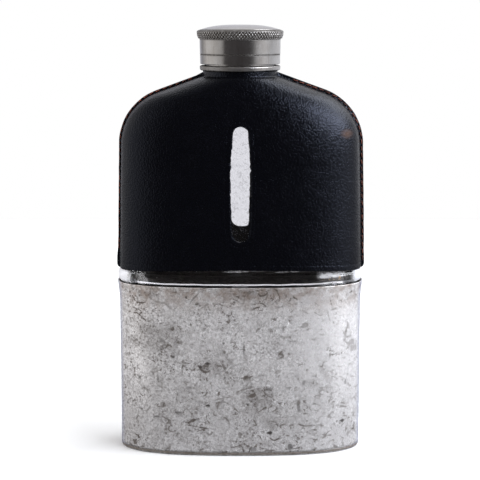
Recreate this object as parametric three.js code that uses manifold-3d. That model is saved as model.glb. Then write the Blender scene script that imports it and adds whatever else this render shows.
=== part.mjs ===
// An antique half-pint hip flask: a flattened-oval glass bottle with a stitched leather jacket on its
// upper half, a silver-plated drinking cup that slips over its lower half, and a screw cap with a cork wad.
// Millimetres. +Z is up, X runs across the width, the front faces -Y. The origin is the centre of the
// cup's underside, so the flask stands on the plane z = 0.

import * as THREE from 'three';
import { mergeVertices } from 'three/addons/utils/BufferGeometryUtils.js';
import Module from 'manifold-3d';

const wasm = await Module();
wasm.setup();

// ---- Driving dimensions ----

const OVAL_SEGMENTS = 36;
const ROUND_SEGMENTS = 32;
const OVAL_POWER = 2.6; // superellipse exponent of the body's plan; 2 would be an ellipse
const JOINT_GAP = 0.02; // between pieces that are soldered or pressed together

const CUP = {
  halfWidth: 44.0,
  halfDepth: 18.5,
  rimHeight: 61.85,
  wall: 0.6,
  flare: 0.7,
  flareStart: 46,
  flarePower: 4,
  baseHeight: 1.3,
  baseSheet: 0.6,
  edgeRadius: 0.8,
};

// The glass inside the cup, and the rounded band that the cup's rim stops under.
const GLASS = {
  cupClearance: 0.4,
  bottom: 1.0,
  heelRadius: 3.5,
  wall: 2.8,
  floor: 4.0,
  bandBottom: 62.15,
  bandTop: 66.3,
  bandProud: 1.45,
  underLeather: 1.1,
  neckRadius: 10.3,
  neckTop: 149.7,
  boreRadius: 7.5,
  lipRadius: 0.4,
};

// The leather's outer face, seen from the front: a side that tapers slightly, a round shoulder, and a
// straight slope up to an upright leather neck. The depth follows a quarter ellipse over the shoulder.
const BODY = {
  shoulderCentreX: 23.3,
  shoulderCentreZ: 110.9,
  shoulderRadius: 19.75,
  slope: THREE.MathUtils.degToRad(20),
  sideTaper: 0.0233,
  neckRadius: 13.4,
  halfDepth: 17.7,
  depthTaper: 0.014,
  depthShoulderZ: 104,
  arcSteps: 5,
  slopeSteps: 3,
};

const LEATHER = {
  thickness: 1.0,
  neckTop: 137.2,
  edgeFrontZ: 67.8,
  edgeSideZ: 66.3,
  seamGap: 0.04, // half the gap between the two panels
  finThickness: 0.9,
  finProud: 1.25,
  finRoot: 0.5,
  finBottom: 66.7,
};

const SLOT = {
  bottom: 78.0,
  top: 118.5,
  bottomRadius: 3.2,
  topRadius: 2.8,
  middleHalfWidth: 3.7,
};

// One thread runs up the front of each seam and down its back, through a hole at both ends.
const SEAM = {
  inset: 0.6,
  thread: 0.36,
  clear: 0.06,
  startHeight: 5.0,
  neckGap: 3.4,
  holeRadius: 0.5,
  steps: 20,
};

const COLLAR = {
  bottom: 135.6,
  top: 149.4,
  radius: 12.25,
  bore: 11.25,
  flangeBottom: 137.35,
  flangeTop: 139.2,
  flangeRadius: 14.4,
};

const CEMENT = { bottom: 136.6, top: 149.0, clear: 0.08 };

const SCREW = {
  lead: 2.5,
  turns: 2.6,
  start: 141.3,
  height: 0.85,
  baseHalfWidth: 0.55,
  crestHalfWidth: 0.22,
  runOut: 0.16, // of a turn, where the ridge fades into its sleeve at each end
  stepsPerTurn: 20,
  buried: 0.25,
};

const CAP = {
  skirtBottom: 139.66,
  skirtTop: 148.65,
  skirtRadius: 14.45,
  skirtBore: 13.95,
  sleeveRadius: 13.85,
  sleeveBore: 13.35,
  sleeveBottom: 140.3,
  sleeveTop: 150.3,
  beadBottom: 148.75,
  beadTop: 151.9,
  beadRadius: 15.45,
  lineHeight: 143.1,
  topRadius: 13.85,
  topBottom: 150.4,
  topEdge: 151.9,
  apex: 153.5,
  sheet: 0.8,
};

const WAD = { radius: 12.3, bottom: 149.8, top: 151.15 };

const SILVER_PLATE = { color: 0xb9b5b1, roughness: 0.42, metalness: 0.95 };
const POLISHED_PLATE = { color: 0xc9c6c3, roughness: 0.22, metalness: 1.0 };
const BLACK_LEATHER = { color: 0x121317, roughness: 0.55, metalness: 0.0 };
const SEAM_THREAD = { color: 0x6a3a24, roughness: 0.85, metalness: 0.0 };
const CLEAR_GLASS = { color: 0xe4eaf0, roughness: 0.05, metalness: 0.0, transparent: true, opacity: 0.35 };
const CORK = { color: 0xb08a5c, roughness: 0.9, metalness: 0.0 };
const PLASTER = { color: 0xd8d2c4, roughness: 0.95, metalness: 0.0 };

// ---- Meshes, solids and booleans ----

function geometryFrom(positions, triangles) {
  const geometry = new THREE.BufferGeometry();
  geometry.setAttribute('position', new THREE.Float32BufferAttribute(positions, 3));
  geometry.setIndex(triangles);
  return geometry;
}

function merged(geometry) {
  const bare = geometry.clone();
  bare.deleteAttribute('normal');
  bare.deleteAttribute('uv');
  return mergeVertices(bare);
}

function toSolid(geometry) {
  const closed = merged(geometry);
  const vertProperties = new Float32Array(closed.attributes.position.array);
  const triVerts = new Uint32Array(closed.index.array);
  return new wasm.Manifold(new wasm.Mesh({ numProp: 3, vertProperties, triVerts }));
}

function toGeometry(solid) {
  const mesh = solid.getMesh();
  return geometryFrom(mesh.vertProperties, Array.from(mesh.triVerts));
}

function named(name, geometry, look) {
  const finished = merged(geometry);
  finished.computeVertexNormals();
  const mesh = new THREE.Mesh(finished, new THREE.MeshStandardMaterial(look));
  mesh.name = name;
  return mesh;
}

// A shape drawn in X and Z, extruded along Y between two values.
function extrudeAlongY(shape, fromY, toY, curveSegments = 8) {
  const options = { depth: toY - fromY, bevelEnabled: false, curveSegments };
  const geometry = new THREE.ExtrudeGeometry(shape, options);
  geometry.rotateX(Math.PI / 2);
  geometry.translate(0, toY, 0);
  return geometry;
}

// A profile of [radius, height] pairs turned about the Z axis.
function turned(profile) {
  const points = profile.map(([radius, height]) => new THREE.Vector2(radius, height));
  const geometry = new THREE.LatheGeometry(points, ROUND_SEGMENTS);
  geometry.rotateX(Math.PI / 2);
  return geometry;
}

// A closed ring profile goes up the outside and down the bore, and ends where it starts.
function turnedRing(profile) {
  return turned([...profile, profile[0]]);
}

// ---- Ovals and lofts ----

function ring(halfWidth, halfDepth, z, power = OVAL_POWER) {
  return { halfWidth, halfDepth, z, power };
}

function ovalPoint({ halfWidth, halfDepth, z, power }, turn) {
  const c = Math.cos(turn);
  const s = Math.sin(turn);
  const x = halfWidth * Math.sign(c) * Math.abs(c) ** (2 / power);
  const y = halfDepth * Math.sign(s) * Math.abs(s) ** (2 / power);
  return [x, y, z];
}

// Skins a list of oval rings. The rings go up the outside; for a vessel they then come down the inside.
// joined connects the last ring to the first; otherwise a flat disc closes each end.
function loft(rings, joined) {
  const positions = [];
  const triangles = [];
  for (const oval of rings) {
    for (let i = 0; i < OVAL_SEGMENTS; i++) {
      positions.push(...ovalPoint(oval, (2 * Math.PI * i) / OVAL_SEGMENTS));
    }
  }
  const spans = joined ? rings.length : rings.length - 1;
  for (let r = 0; r < spans; r++) {
    const lower = r * OVAL_SEGMENTS;
    const upper = ((r + 1) % rings.length) * OVAL_SEGMENTS;
    for (let i = 0; i < OVAL_SEGMENTS; i++) {
      const next = (i + 1) % OVAL_SEGMENTS;
      triangles.push(lower + i, lower + next, upper + next);
      triangles.push(lower + i, upper + next, upper + i);
    }
  }
  if (!joined) {
    closeEnd(positions, triangles, 0, rings[0].z, false);
    closeEnd(positions, triangles, (rings.length - 1) * OVAL_SEGMENTS, rings.at(-1).z, true);
  }
  return geometryFrom(positions, triangles);
}

function closeEnd(positions, triangles, first, z, isLast) {
  const centre = positions.length / 3;
  positions.push(0, 0, z);
  for (let i = 0; i < OVAL_SEGMENTS; i++) {
    const here = first + i;
    const next = first + ((i + 1) % OVAL_SEGMENTS);
    if (isLast) {
      triangles.push(centre, here, next);
    } else {
      triangles.push(centre, next, here);
    }
  }
}

// ---- The body's outline. out moves it outward along its normal, from the leather's outer face ----

function shoulderEnd(out) {
  const radius = BODY.shoulderRadius + out;
  const turn = Math.PI / 2 - BODY.slope;
  const x = BODY.shoulderCentreX + radius * Math.cos(turn);
  const z = BODY.shoulderCentreZ + radius * Math.sin(turn);
  return { x, z };
}

function slopeHeight(x, out) {
  const end = shoulderEnd(out);
  return end.z + (end.x - x) * Math.tan(BODY.slope);
}

function neckHeight(out) {
  return slopeHeight(BODY.neckRadius + out, out);
}

function bodyHalfWidth(z, out) {
  const radius = BODY.shoulderRadius + out;
  const rise = z - BODY.shoulderCentreZ;
  const end = shoulderEnd(out);
  if (z > end.z) {
    return end.x - (z - end.z) / Math.tan(BODY.slope);
  }
  if (rise > 0) {
    return BODY.shoulderCentreX + Math.sqrt(radius ** 2 - rise ** 2);
  }
  return BODY.shoulderCentreX + radius - rise * BODY.sideTaper;
}

// 1 on the straight body, falling to 0 at the neck along a quarter ellipse.
function shoulderFade(z, out) {
  const t = (z - BODY.depthShoulderZ) / (neckHeight(out) - BODY.depthShoulderZ);
  return Math.sqrt(1 - THREE.MathUtils.clamp(t, 0, 1) ** 2);
}

function bodyRing(z, out) {
  const fade = shoulderFade(z, out);
  const below = Math.max(BODY.depthShoulderZ - z, 0);
  const fullDepth = BODY.halfDepth - BODY.neckRadius;
  const halfDepth = BODY.neckRadius + out + fullDepth * fade + below * BODY.depthTaper;
  const power = 2 + (OVAL_POWER - 2) * fade;
  return ring(bodyHalfWidth(z, out), halfDepth, z, power);
}

function bodyRings(out, bottom) {
  const levels = [bottom, BODY.depthShoulderZ];
  for (let i = 0; i <= BODY.arcSteps; i++) {
    const turn = ((Math.PI / 2 - BODY.slope) * i) / BODY.arcSteps;
    levels.push(BODY.shoulderCentreZ + (BODY.shoulderRadius + out) * Math.sin(turn));
  }
  const start = shoulderEnd(out).z;
  for (let i = 1; i <= BODY.slopeSteps; i++) {
    levels.push(start + ((neckHeight(out) - start) * i) / BODY.slopeSteps);
  }
  return levels.map((z) => bodyRing(z, out));
}

// The same outline as a path in X and Z, on the right-hand side, from a height on the side to an x on the slope.
function outlinePath(out, bottom, endX) {
  const path = new THREE.Path();
  path.moveTo(bodyHalfWidth(bottom, out), bottom);
  path.lineTo(bodyHalfWidth(BODY.shoulderCentreZ, out), BODY.shoulderCentreZ);
  const radius = BODY.shoulderRadius + out;
  path.absarc(BODY.shoulderCentreX, BODY.shoulderCentreZ, radius, 0, Math.PI / 2 - BODY.slope, false);
  path.lineTo(endX, slopeHeight(endX, out));
  return path;
}

// ---- Cup ----

function cupRing(z, inset) {
  const t = Math.max(z - CUP.flareStart, 0) / (CUP.rimHeight - CUP.flareStart);
  const out = CUP.flare * t ** CUP.flarePower - inset;
  return ring(CUP.halfWidth + out, CUP.halfDepth + out, z);
}

function cupWall() {
  const levels = [CUP.baseHeight + JOINT_GAP, CUP.flareStart, 54, 58.5, CUP.rimHeight - 0.2];
  const rounding = 0.15;
  const outer = levels.map((z) => cupRing(z, 0));
  const lip = [cupRing(CUP.rimHeight, rounding), cupRing(CUP.rimHeight, CUP.wall - rounding)];
  const inner = levels.toReversed().map((z) => cupRing(z, CUP.wall));
  return loft([...outer, ...lip, ...inner], true);
}

// A shallow pan whose upturned edge is soldered under the wall.
function cupBase() {
  const innerCorner = 0.5;
  const outer = [0, 1, 2, 3].map((i) => {
    const turn = (Math.PI / 2) * (i / 3);
    const z = CUP.edgeRadius * (1 - Math.cos(turn));
    return cupRing(z, CUP.edgeRadius * (1 - Math.sin(turn)));
  });
  const edge = [cupRing(CUP.baseHeight, 0), cupRing(CUP.baseHeight, CUP.wall)];
  const floor = cupRing(CUP.baseSheet, CUP.wall + innerCorner);
  return loft([...outer, ...edge, floor], false);
}

// ---- Glass bottle ----

function glassRing(z, inset) {
  const fromCup = CUP.wall + GLASS.cupClearance + inset;
  return ring(CUP.halfWidth - fromCup, CUP.halfDepth - fromCup, z);
}

function heelRings(bottom, radius, inset) {
  const steps = 3;
  const rings = [];
  for (let i = 0; i <= steps; i++) {
    const turn = (Math.PI / 2) * (i / steps);
    rings.push(glassRing(bottom + radius * (1 - Math.cos(turn)), inset + radius * (1 - Math.sin(turn))));
  }
  return rings;
}

// The half-round band that stands proud between the cup and the leather.
function bandRings() {
  const steps = 4;
  const middle = (GLASS.bandBottom + GLASS.bandTop) / 2;
  const halfHeight = (GLASS.bandTop - GLASS.bandBottom) / 2;
  const rings = [];
  for (let i = 0; i <= steps; i++) {
    const turn = Math.PI * (i / steps - 0.5);
    rings.push(glassRing(middle + halfHeight * Math.sin(turn), -GLASS.bandProud * Math.cos(turn)));
  }
  return rings;
}

function glassBottle() {
  const round = (radius, z) => ring(radius, radius, z, 2);
  const outside = -GLASS.underLeather;
  const inside = outside - GLASS.wall;
  const outer = [
    ...heelRings(GLASS.bottom, GLASS.heelRadius, 0),
    ...bandRings(),
    ...bodyRings(outside, GLASS.bandTop + 0.4),
    round(11.2, 135.15),
    round(10.6, 135.5),
    round(GLASS.neckRadius, 136.1),
    round(GLASS.neckRadius, GLASS.neckTop - GLASS.lipRadius),
    round(GLASS.neckRadius - GLASS.lipRadius, GLASS.neckTop),
  ];
  const inner = [
    ...heelRings(GLASS.bottom + GLASS.floor, GLASS.heelRadius, GLASS.wall),
    ...bodyRings(inside, GLASS.bandTop + 0.4),
    round(8.3, 133.3),
    round(GLASS.boreRadius, 134.6),
    round(GLASS.boreRadius, GLASS.neckTop - GLASS.lipRadius),
    round(GLASS.boreRadius + GLASS.lipRadius, GLASS.neckTop),
  ];
  return loft([...outer, ...inner.toReversed()], false);
}

// ---- Leather jacket ----

// Everything above the jacket's lower edge, which dips a little from the front towards the sides.
function aboveLowerEdge() {
  const dip = LEATHER.edgeFrontZ - LEATHER.edgeSideZ;
  const radius = BODY.shoulderCentreX + BODY.shoulderRadius;
  const edgeRadius = (radius ** 2 + dip ** 2) / (2 * dip);
  const reach = 60;
  const half = Math.asin(reach / edgeRadius);
  const shape = new THREE.Shape();
  const upright = Math.PI / 2;
  shape.absarc(0, LEATHER.edgeFrontZ - edgeRadius, edgeRadius, upright - half, upright + half, false);
  shape.lineTo(-reach, LEATHER.neckTop + 10);
  shape.lineTo(reach, LEATHER.neckTop + 10);
  return toSolid(extrudeAlongY(shape, -40, 40, 16));
}

function slotShape() {
  const lowZ = SLOT.bottom + SLOT.bottomRadius;
  const highZ = SLOT.top - SLOT.topRadius;
  const bulge = 2 * SLOT.middleHalfWidth - (SLOT.bottomRadius + SLOT.topRadius) / 2;
  const middleZ = (lowZ + highZ) / 2;
  const shape = new THREE.Shape();
  shape.absarc(0, lowZ, SLOT.bottomRadius, Math.PI, 2 * Math.PI, false);
  shape.quadraticCurveTo(bulge, middleZ, SLOT.topRadius, highZ);
  shape.absarc(0, highZ, SLOT.topRadius, 0, Math.PI, false);
  shape.quadraticCurveTo(-bulge, middleZ, -SLOT.bottomRadius, lowZ);
  return shape;
}

// The flat margin of one panel outside the body's outline, where the two panels are sewn together.
function finShape(side) {
  const neck = BODY.neckRadius - 0.3;
  const outer = outlinePath(LEATHER.finProud, LEATHER.finBottom, neck).getPoints(BODY.arcSteps);
  const inner = outlinePath(-LEATHER.finRoot, LEATHER.finBottom, neck).getPoints(BODY.arcSteps);
  const points = [...outer, ...inner.toReversed()];
  return new THREE.Shape(points.map((p) => new THREE.Vector2(side * p.x, p.y)));
}

function seamPath() {
  const bottom = LEATHER.finBottom + SEAM.startHeight;
  return outlinePath(SEAM.inset, bottom, BODY.neckRadius + SEAM.neckGap);
}

// Holes for the turns at the ends of a seam's thread.
function seamHoles(side) {
  const path = seamPath();
  return [path.getPointAt(0), path.getPointAt(1)].map((end) => {
    const hole = new THREE.CylinderGeometry(SEAM.holeRadius, SEAM.holeRadius, 8, 8);
    hole.translate(side * end.x, 0, end.y);
    return toSolid(hole);
  });
}

// facing is -1 for the front panel and 1 for the back one.
function leatherPanel(facing) {
  const below = 60;
  const neckRing = (z, out) => ring(BODY.neckRadius + out, BODY.neckRadius + out, z, 2);
  const outer = toSolid(loft([...bodyRings(0, below), neckRing(LEATHER.neckTop, 0)], false));
  const inside = -LEATHER.thickness;
  const innerRings = [...bodyRings(inside, below - 5), neckRing(LEATHER.neckTop + 5, inside)];
  const inner = toSolid(loft(innerRings, false));
  const half = new THREE.BoxGeometry(120, 40, 200);
  half.translate(0, facing * (20 + LEATHER.seamGap), 100);
  let panel = outer.subtract(inner).intersect(toSolid(half));
  const near = LEATHER.seamGap;
  const far = LEATHER.seamGap + LEATHER.finThickness;
  const [fromY, toY] = facing < 0 ? [-far, -near] : [near, far];
  for (const side of [-1, 1]) {
    const fin = toSolid(extrudeAlongY(finShape(side), fromY, toY)).subtract(inner);
    panel = panel.add(fin);
  }
  const window = toSolid(extrudeAlongY(slotShape(), facing < 0 ? -40 : 5, facing < 0 ? -5 : 40));
  panel = panel.intersect(aboveLowerEdge()).subtract(window);
  for (const hole of [...seamHoles(-1), ...seamHoles(1)]) {
    panel = panel.subtract(hole);
  }
  return toGeometry(panel);
}

// A closed loop of square thread: up the front of the seam, through, down the back, and through again.
function seamThread(side) {
  const path = seamPath();
  const length = path.getLength();
  const half = SEAM.thread / 2;
  const middleY = LEATHER.seamGap + LEATHER.finThickness + SEAM.clear + half;
  const stations = [];
  for (let i = 0; i <= SEAM.steps; i++) {
    const end = Math.sign(i - SEAM.steps / 2) * (i === 0 || i === SEAM.steps ? 1 : 0);
    stations.push({ along: i / SEAM.steps, end });
  }
  const corner = ({ along, end }, facing, offset, lift) => {
    const run = THREE.MathUtils.clamp(along + (end * offset) / length, 0, 1);
    const point = path.getPointAt(run);
    const tangent = path.getTangentAt(run);
    const overrun = (along + (end * offset) / length - run) * length;
    const x = point.x + tangent.x * overrun + tangent.y * lift;
    const z = point.y + tangent.y * overrun - tangent.x * lift;
    return [side * x, facing * (middleY + offset), z];
  };
  const loop = [
    ...stations.map((station) => [station, -1]),
    ...stations.toReversed().map((station) => [station, 1]),
  ];
  const positions = [];
  const triangles = [];
  for (const [station, facing] of loop) {
    positions.push(...corner(station, facing, half, half), ...corner(station, facing, half, -half));
    positions.push(...corner(station, facing, -half, -half), ...corner(station, facing, -half, half));
  }
  for (let k = 0; k < loop.length; k++) {
    const here = 4 * k;
    const ahead = 4 * ((k + 1) % loop.length);
    for (let i = 0; i < 4; i++) {
      const j = (i + 1) % 4;
      const quad = [here + i, here + j, ahead + j, ahead + i];
      if (side > 0) {
        quad.reverse();
      }
      triangles.push(quad[0], quad[1], quad[2], quad[0], quad[2], quad[3]);
    }
  }
  return geometryFrom(positions, triangles);
}

// ---- Neck collar and screw ----

// A trapezoid ridge wound on a sleeve's wall. into is 1 for a ridge outside the wall, -1 for one inside a bore.
function screwRidge(wallRadius, into, start) {
  const steps = Math.round(SCREW.turns * SCREW.stepsPerTurn);
  const positions = [];
  const triangles = [];
  for (let i = 0; i <= steps; i++) {
    const turns = (SCREW.turns * i) / steps;
    const fade = Math.min(1, turns / SCREW.runOut, (SCREW.turns - turns) / SCREW.runOut);
    const buried = wallRadius - into * SCREW.buried;
    const crest = buried + into * ((SCREW.height + SCREW.buried) * fade + 0.1 * (1 - fade));
    const z = start + SCREW.lead * turns;
    const turn = 2 * Math.PI * turns;
    const section = [
      [buried, -SCREW.baseHalfWidth],
      [crest, -SCREW.crestHalfWidth],
      [crest, SCREW.crestHalfWidth],
      [buried, SCREW.baseHalfWidth],
    ];
    for (const [radius, offset] of section) {
      positions.push(radius * Math.cos(turn), radius * Math.sin(turn), z + offset);
    }
  }
  const face = (a, b, c) => triangles.push(...(into > 0 ? [a, b, c] : [a, c, b]));
  for (let s = 0; s < steps; s++) {
    for (let i = 0; i < 4; i++) {
      const j = (i + 1) % 4;
      const here = 4 * s;
      face(here + i, here + 4 + i, here + 4 + j);
      face(here + i, here + 4 + j, here + j);
    }
  }
  const last = 4 * steps;
  face(0, 1, 2);
  face(0, 2, 3);
  face(last, last + 2, last + 1);
  face(last, last + 3, last + 2);
  return toSolid(geometryFrom(positions, triangles));
}

function neckCollar() {
  const tube = turnedRing([
    [COLLAR.bore, COLLAR.bottom],
    [COLLAR.radius, COLLAR.bottom],
    [COLLAR.radius, COLLAR.top - 0.2],
    [COLLAR.radius - 0.2, COLLAR.top],
    [COLLAR.bore, COLLAR.top],
  ]);
  return toGeometry(toSolid(tube).add(screwRidge(COLLAR.radius, 1, SCREW.start)));
}

function collarFlange() {
  const bore = COLLAR.radius + JOINT_GAP;
  const roll = 0.75;
  const steps = 4;
  const profile = [[bore, COLLAR.flangeBottom]];
  profile.push([COLLAR.flangeRadius - roll - 0.1, COLLAR.flangeBottom]);
  for (let i = 0; i <= steps; i++) {
    const turn = Math.PI * (i / steps - 0.5);
    const radius = COLLAR.flangeRadius - roll + roll * Math.cos(turn);
    profile.push([radius, COLLAR.flangeTop - 0.05 - roll + roll * Math.sin(turn)]);
  }
  profile.push([bore, COLLAR.flangeTop]);
  return turnedRing(profile);
}

function collarCement() {
  return turnedRing([
    [GLASS.neckRadius + CEMENT.clear, CEMENT.bottom],
    [COLLAR.bore - CEMENT.clear, CEMENT.bottom],
    [COLLAR.bore - CEMENT.clear, CEMENT.top],
    [GLASS.neckRadius + CEMENT.clear, CEMENT.top],
  ]);
}

// ---- Cap ----

function capSkirt() {
  const foot = 0.4;
  const lineDepth = 0.12;
  return turnedRing([
    [CAP.skirtBore, CAP.skirtBottom],
    [CAP.skirtRadius - foot, CAP.skirtBottom],
    [CAP.skirtRadius - 0.2, CAP.skirtBottom + 0.25],
    [CAP.skirtRadius - 0.15, CAP.lineHeight - 0.12],
    [CAP.skirtRadius - 0.15 - lineDepth, CAP.lineHeight],
    [CAP.skirtRadius - 0.1, CAP.lineHeight + 0.12],
    [CAP.skirtRadius, CAP.skirtTop - 0.6],
    [CAP.skirtRadius - 0.25, CAP.skirtTop],
    [CAP.skirtBore, CAP.skirtTop],
  ]);
}

function capThreadSleeve() {
  const sleeve = turnedRing([
    [CAP.sleeveBore, CAP.sleeveBottom],
    [CAP.sleeveRadius, CAP.sleeveBottom],
    [CAP.sleeveRadius, CAP.sleeveTop],
    [CAP.sleeveBore, CAP.sleeveTop],
  ]);
  const ridge = screwRidge(CAP.sleeveBore, -1, SCREW.start + SCREW.lead / 2);
  return toGeometry(toSolid(sleeve).add(ridge));
}

function capKnurledRim() {
  const bore = CAP.topRadius + 0.1;
  return turnedRing([
    [bore, CAP.beadBottom],
    [CAP.beadRadius - 0.85, CAP.beadBottom],
    [CAP.beadRadius - 0.35, CAP.beadBottom + 0.45],
    [CAP.beadRadius - 0.05, CAP.beadBottom + 1.2],
    [CAP.beadRadius, CAP.beadBottom + 1.85],
    [CAP.beadRadius - 0.25, CAP.beadBottom + 2.4],
    [CAP.beadRadius - 0.8, CAP.beadBottom + 2.9],
    [bore, CAP.beadTop],
  ]);
}

// Height of the domed top's outer face over a radius: an arc that meets the edge and the apex.
function domeHeight(radius, edgeRadius, edge, apex) {
  const rise = apex - edge;
  const sphere = (edgeRadius ** 2 + rise ** 2) / (2 * rise);
  return apex - sphere + Math.sqrt(sphere ** 2 - radius ** 2);
}

function capTop() {
  const steps = 4;
  const innerRadius = CAP.topRadius - 1.3;
  const innerEdge = CAP.topEdge - 0.6;
  const profile = [];
  for (let i = 0; i <= steps; i++) {
    const radius = (innerRadius * i) / steps;
    profile.push([radius, domeHeight(radius, innerRadius, innerEdge, CAP.apex - CAP.sheet)]);
  }
  profile.push([innerRadius, CAP.topBottom], [CAP.topRadius, CAP.topBottom]);
  for (let i = steps; i >= 0; i--) {
    const radius = (CAP.topRadius * i) / steps;
    profile.push([radius, domeHeight(radius, CAP.topRadius, CAP.topEdge, CAP.apex)]);
  }
  return turned(profile);
}

function corkWad() {
  return turned([
    [0, WAD.bottom],
    [WAD.radius, WAD.bottom],
    [WAD.radius, WAD.top],
    [0, WAD.top],
  ]);
}

// ---- Assembly ----

const cup = new THREE.Group();
cup.add(named('cup_wall', cupWall(), SILVER_PLATE));
cup.add(named('cup_base', cupBase(), SILVER_PLATE));

const bottle = new THREE.Group();
bottle.add(named('glass_bottle', glassBottle(), CLEAR_GLASS));
bottle.add(named('leather_front_panel', leatherPanel(-1), BLACK_LEATHER));
bottle.add(named('leather_back_panel', leatherPanel(1), BLACK_LEATHER));
bottle.add(named('seam_thread_left', seamThread(-1), SEAM_THREAD));
bottle.add(named('seam_thread_right', seamThread(1), SEAM_THREAD));
bottle.add(named('neck_collar', neckCollar(), POLISHED_PLATE));
bottle.add(named('collar_flange', collarFlange(), POLISHED_PLATE));
bottle.add(named('collar_cement', collarCement(), PLASTER));

const cap = new THREE.Group();
cap.add(named('cap_skirt', capSkirt(), POLISHED_PLATE));
cap.add(named('cap_thread_sleeve', capThreadSleeve(), POLISHED_PLATE));
cap.add(named('cap_knurled_rim', capKnurledRim(), POLISHED_PLATE));
cap.add(named('cap_top', capTop(), POLISHED_PLATE));
cap.add(named('cork_wad', corkWad(), CORK));

const flask = new THREE.Group();
flask.add(cup, bottle, cap);

export default flask;
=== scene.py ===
"""An antique half-pint hip flask: glass bottle, stitched black leather jacket, worn silver-plated cup and screw cap.

Shapes are worked out in millimetres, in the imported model's frame, and scaled to metres when a mesh is made.
+Z is up, X runs across the width and the front faces -Y.
"""

import bmesh
import bpy
import math
import random
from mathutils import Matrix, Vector, noise


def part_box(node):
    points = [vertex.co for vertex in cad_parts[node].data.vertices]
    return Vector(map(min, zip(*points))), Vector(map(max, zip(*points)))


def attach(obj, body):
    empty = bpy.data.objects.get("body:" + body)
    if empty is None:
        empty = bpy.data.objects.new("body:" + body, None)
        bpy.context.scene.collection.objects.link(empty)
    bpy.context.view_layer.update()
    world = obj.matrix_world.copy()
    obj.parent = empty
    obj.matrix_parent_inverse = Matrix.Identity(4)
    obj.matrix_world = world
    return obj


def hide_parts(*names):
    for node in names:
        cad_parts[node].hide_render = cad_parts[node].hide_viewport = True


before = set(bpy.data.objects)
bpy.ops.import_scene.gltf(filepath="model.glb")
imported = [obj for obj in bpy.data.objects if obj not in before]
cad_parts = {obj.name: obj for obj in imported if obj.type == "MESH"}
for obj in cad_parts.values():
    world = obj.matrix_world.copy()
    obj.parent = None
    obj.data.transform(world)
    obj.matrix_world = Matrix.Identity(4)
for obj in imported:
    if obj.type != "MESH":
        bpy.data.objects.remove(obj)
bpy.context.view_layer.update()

MM = 0.001
SEED = 7

# ---- Driving dimensions, in millimetres ----


def node_box(name):
    """A CAD node's lowest and highest corners, in millimetres."""
    low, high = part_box(name)
    return low / MM, high / MM


CUP_LOW, CUP_HIGH = node_box("cup_wall")
_, BASE_HIGH = node_box("cup_base")
COLLAR_LOW, COLLAR_HIGH = node_box("neck_collar")
FLANGE_LOW, FLANGE_HIGH = node_box("collar_flange")
CEMENT_LOW, CEMENT_HIGH = node_box("collar_cement")
SKIRT_LOW, SKIRT_HIGH = node_box("cap_skirt")
SLEEVE_LOW, SLEEVE_HIGH = node_box("cap_thread_sleeve")
RIM_LOW, RIM_HIGH = node_box("cap_knurled_rim")
TOP_LOW, TOP_HIGH = node_box("cap_top")
WAD_LOW, WAD_HIGH = node_box("cork_wad")
GLASS_LOW, GLASS_HIGH = node_box("glass_bottle")
_, LEATHER_HIGH = node_box("leather_front_panel")

OVAL_POWER = 2.6
CUP_HALF_WIDTH = BASE_HIGH.x
CUP_HALF_DEPTH = BASE_HIGH.y
CUP_WALL = 0.6
CUP_FLARE = CUP_HIGH.x - CUP_HALF_WIDTH
CUP_FLARE_START = 46.0
CUP_FLARE_POWER = 4
CUP_POINTS = 224

GLASS_CLEARANCE = 0.4
GLASS_WALL = 2.8
GLASS_FLOOR = 4.0
GLASS_HEEL = 3.5
BAND_BOTTOM = 62.0
BAND_TOP = 66.3
BAND_PROUD = 1.45
NECK_RADIUS = 10.3
BORE_RADIUS = 7.5
LIP_RADIUS = 0.4
GLASS_UNDER_LEATHER = 1.1

# The leather's outer face: side, round shoulder, straight slope and upright neck.
BODY_HALF_WIDTH = 43.0
SHOULDER_X = 23.3
SHOULDER_Z = 110.9
SHOULDER_RADIUS = 19.75
SLOPE = math.radians(20)
SIDE_TAPER = 0.0233
LEATHER_NECK = 13.4
LEATHER_HALF_DEPTH = 17.7
DEPTH_TAPER = 0.014
DEPTH_SHOULDER_Z = 104.0
LEATHER_THICKNESS = 1.0
CUT_ROUND = 0.34  # the rounding of the lower edge
PUCKER = 0.016  # depth of the puckers between stitches
EDGE_FRONT_Z = 67.8
EDGE_SIDE_Z = 66.3
EDGE_FADE = 14.0  # how far up the lower edge's curve fades out
EDGE_STEPS = [0, 0.05, 0.12, 0.22, 0.34, 0.5, 0.75, 1.05, 1.3, 1.55, 1.75, 1.9, 2.05, 2.2, 2.4, 2.7, 3.1]

# The side seams. The left margin was trimmed closer than the right one, all but its foot, and drawn in tighter.
SEAM_GAP = 0.04
FIN_THICKNESS = 0.9
FIN_PROUD = 1.25
FIN_BOTTOM = 66.7
FIN_CORNER = 1.6
FIN_ROUND = 0.22
FILLET = 0.65
LEFT_FIN_TRIM = 0.3
LEFT_FIN_FOOT = 71.5
LEFT_DRAW = 0.3
SEAM_INSET, LEFT_SEAM_INSET = 0.62, 0.5
SEWN_FROM, LEFT_SEWN_FROM = 1.6, 5.9
SEWN_ON_SLOPE = 15.0
STITCH_PITCH = 2.5
STITCH_LENGTH = 2.05
STITCH_STEPS, STITCH_SIDES = 12, 8

# The sight slots.
SLOT_BOTTOM = 78.0
SLOT_TOP = 118.5
SLOT_BOTTOM_RADIUS = 3.2
SLOT_TOP_RADIUS = 2.8
SLOT_BULGE = 0.7
SLOT_SHIFT = 0.28
SLOT_ROUND = 0.32
BACK_SLOT_LIFT = 0.65
SLOT_STEPS_IN = [0.0, 0.008, 0.03, 0.07, 0.13, 0.21, 0.31, 0.43, 0.58, 0.76, 0.98, 1.24, 1.55, 1.9, 2.3, 2.75]
SLOT_STEPS_OUT = [0.12, 0.26, 0.45, 0.7, 1.0, 1.35, 1.6, 1.8, 2.0, 2.3, 2.7, 3.2]

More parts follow.
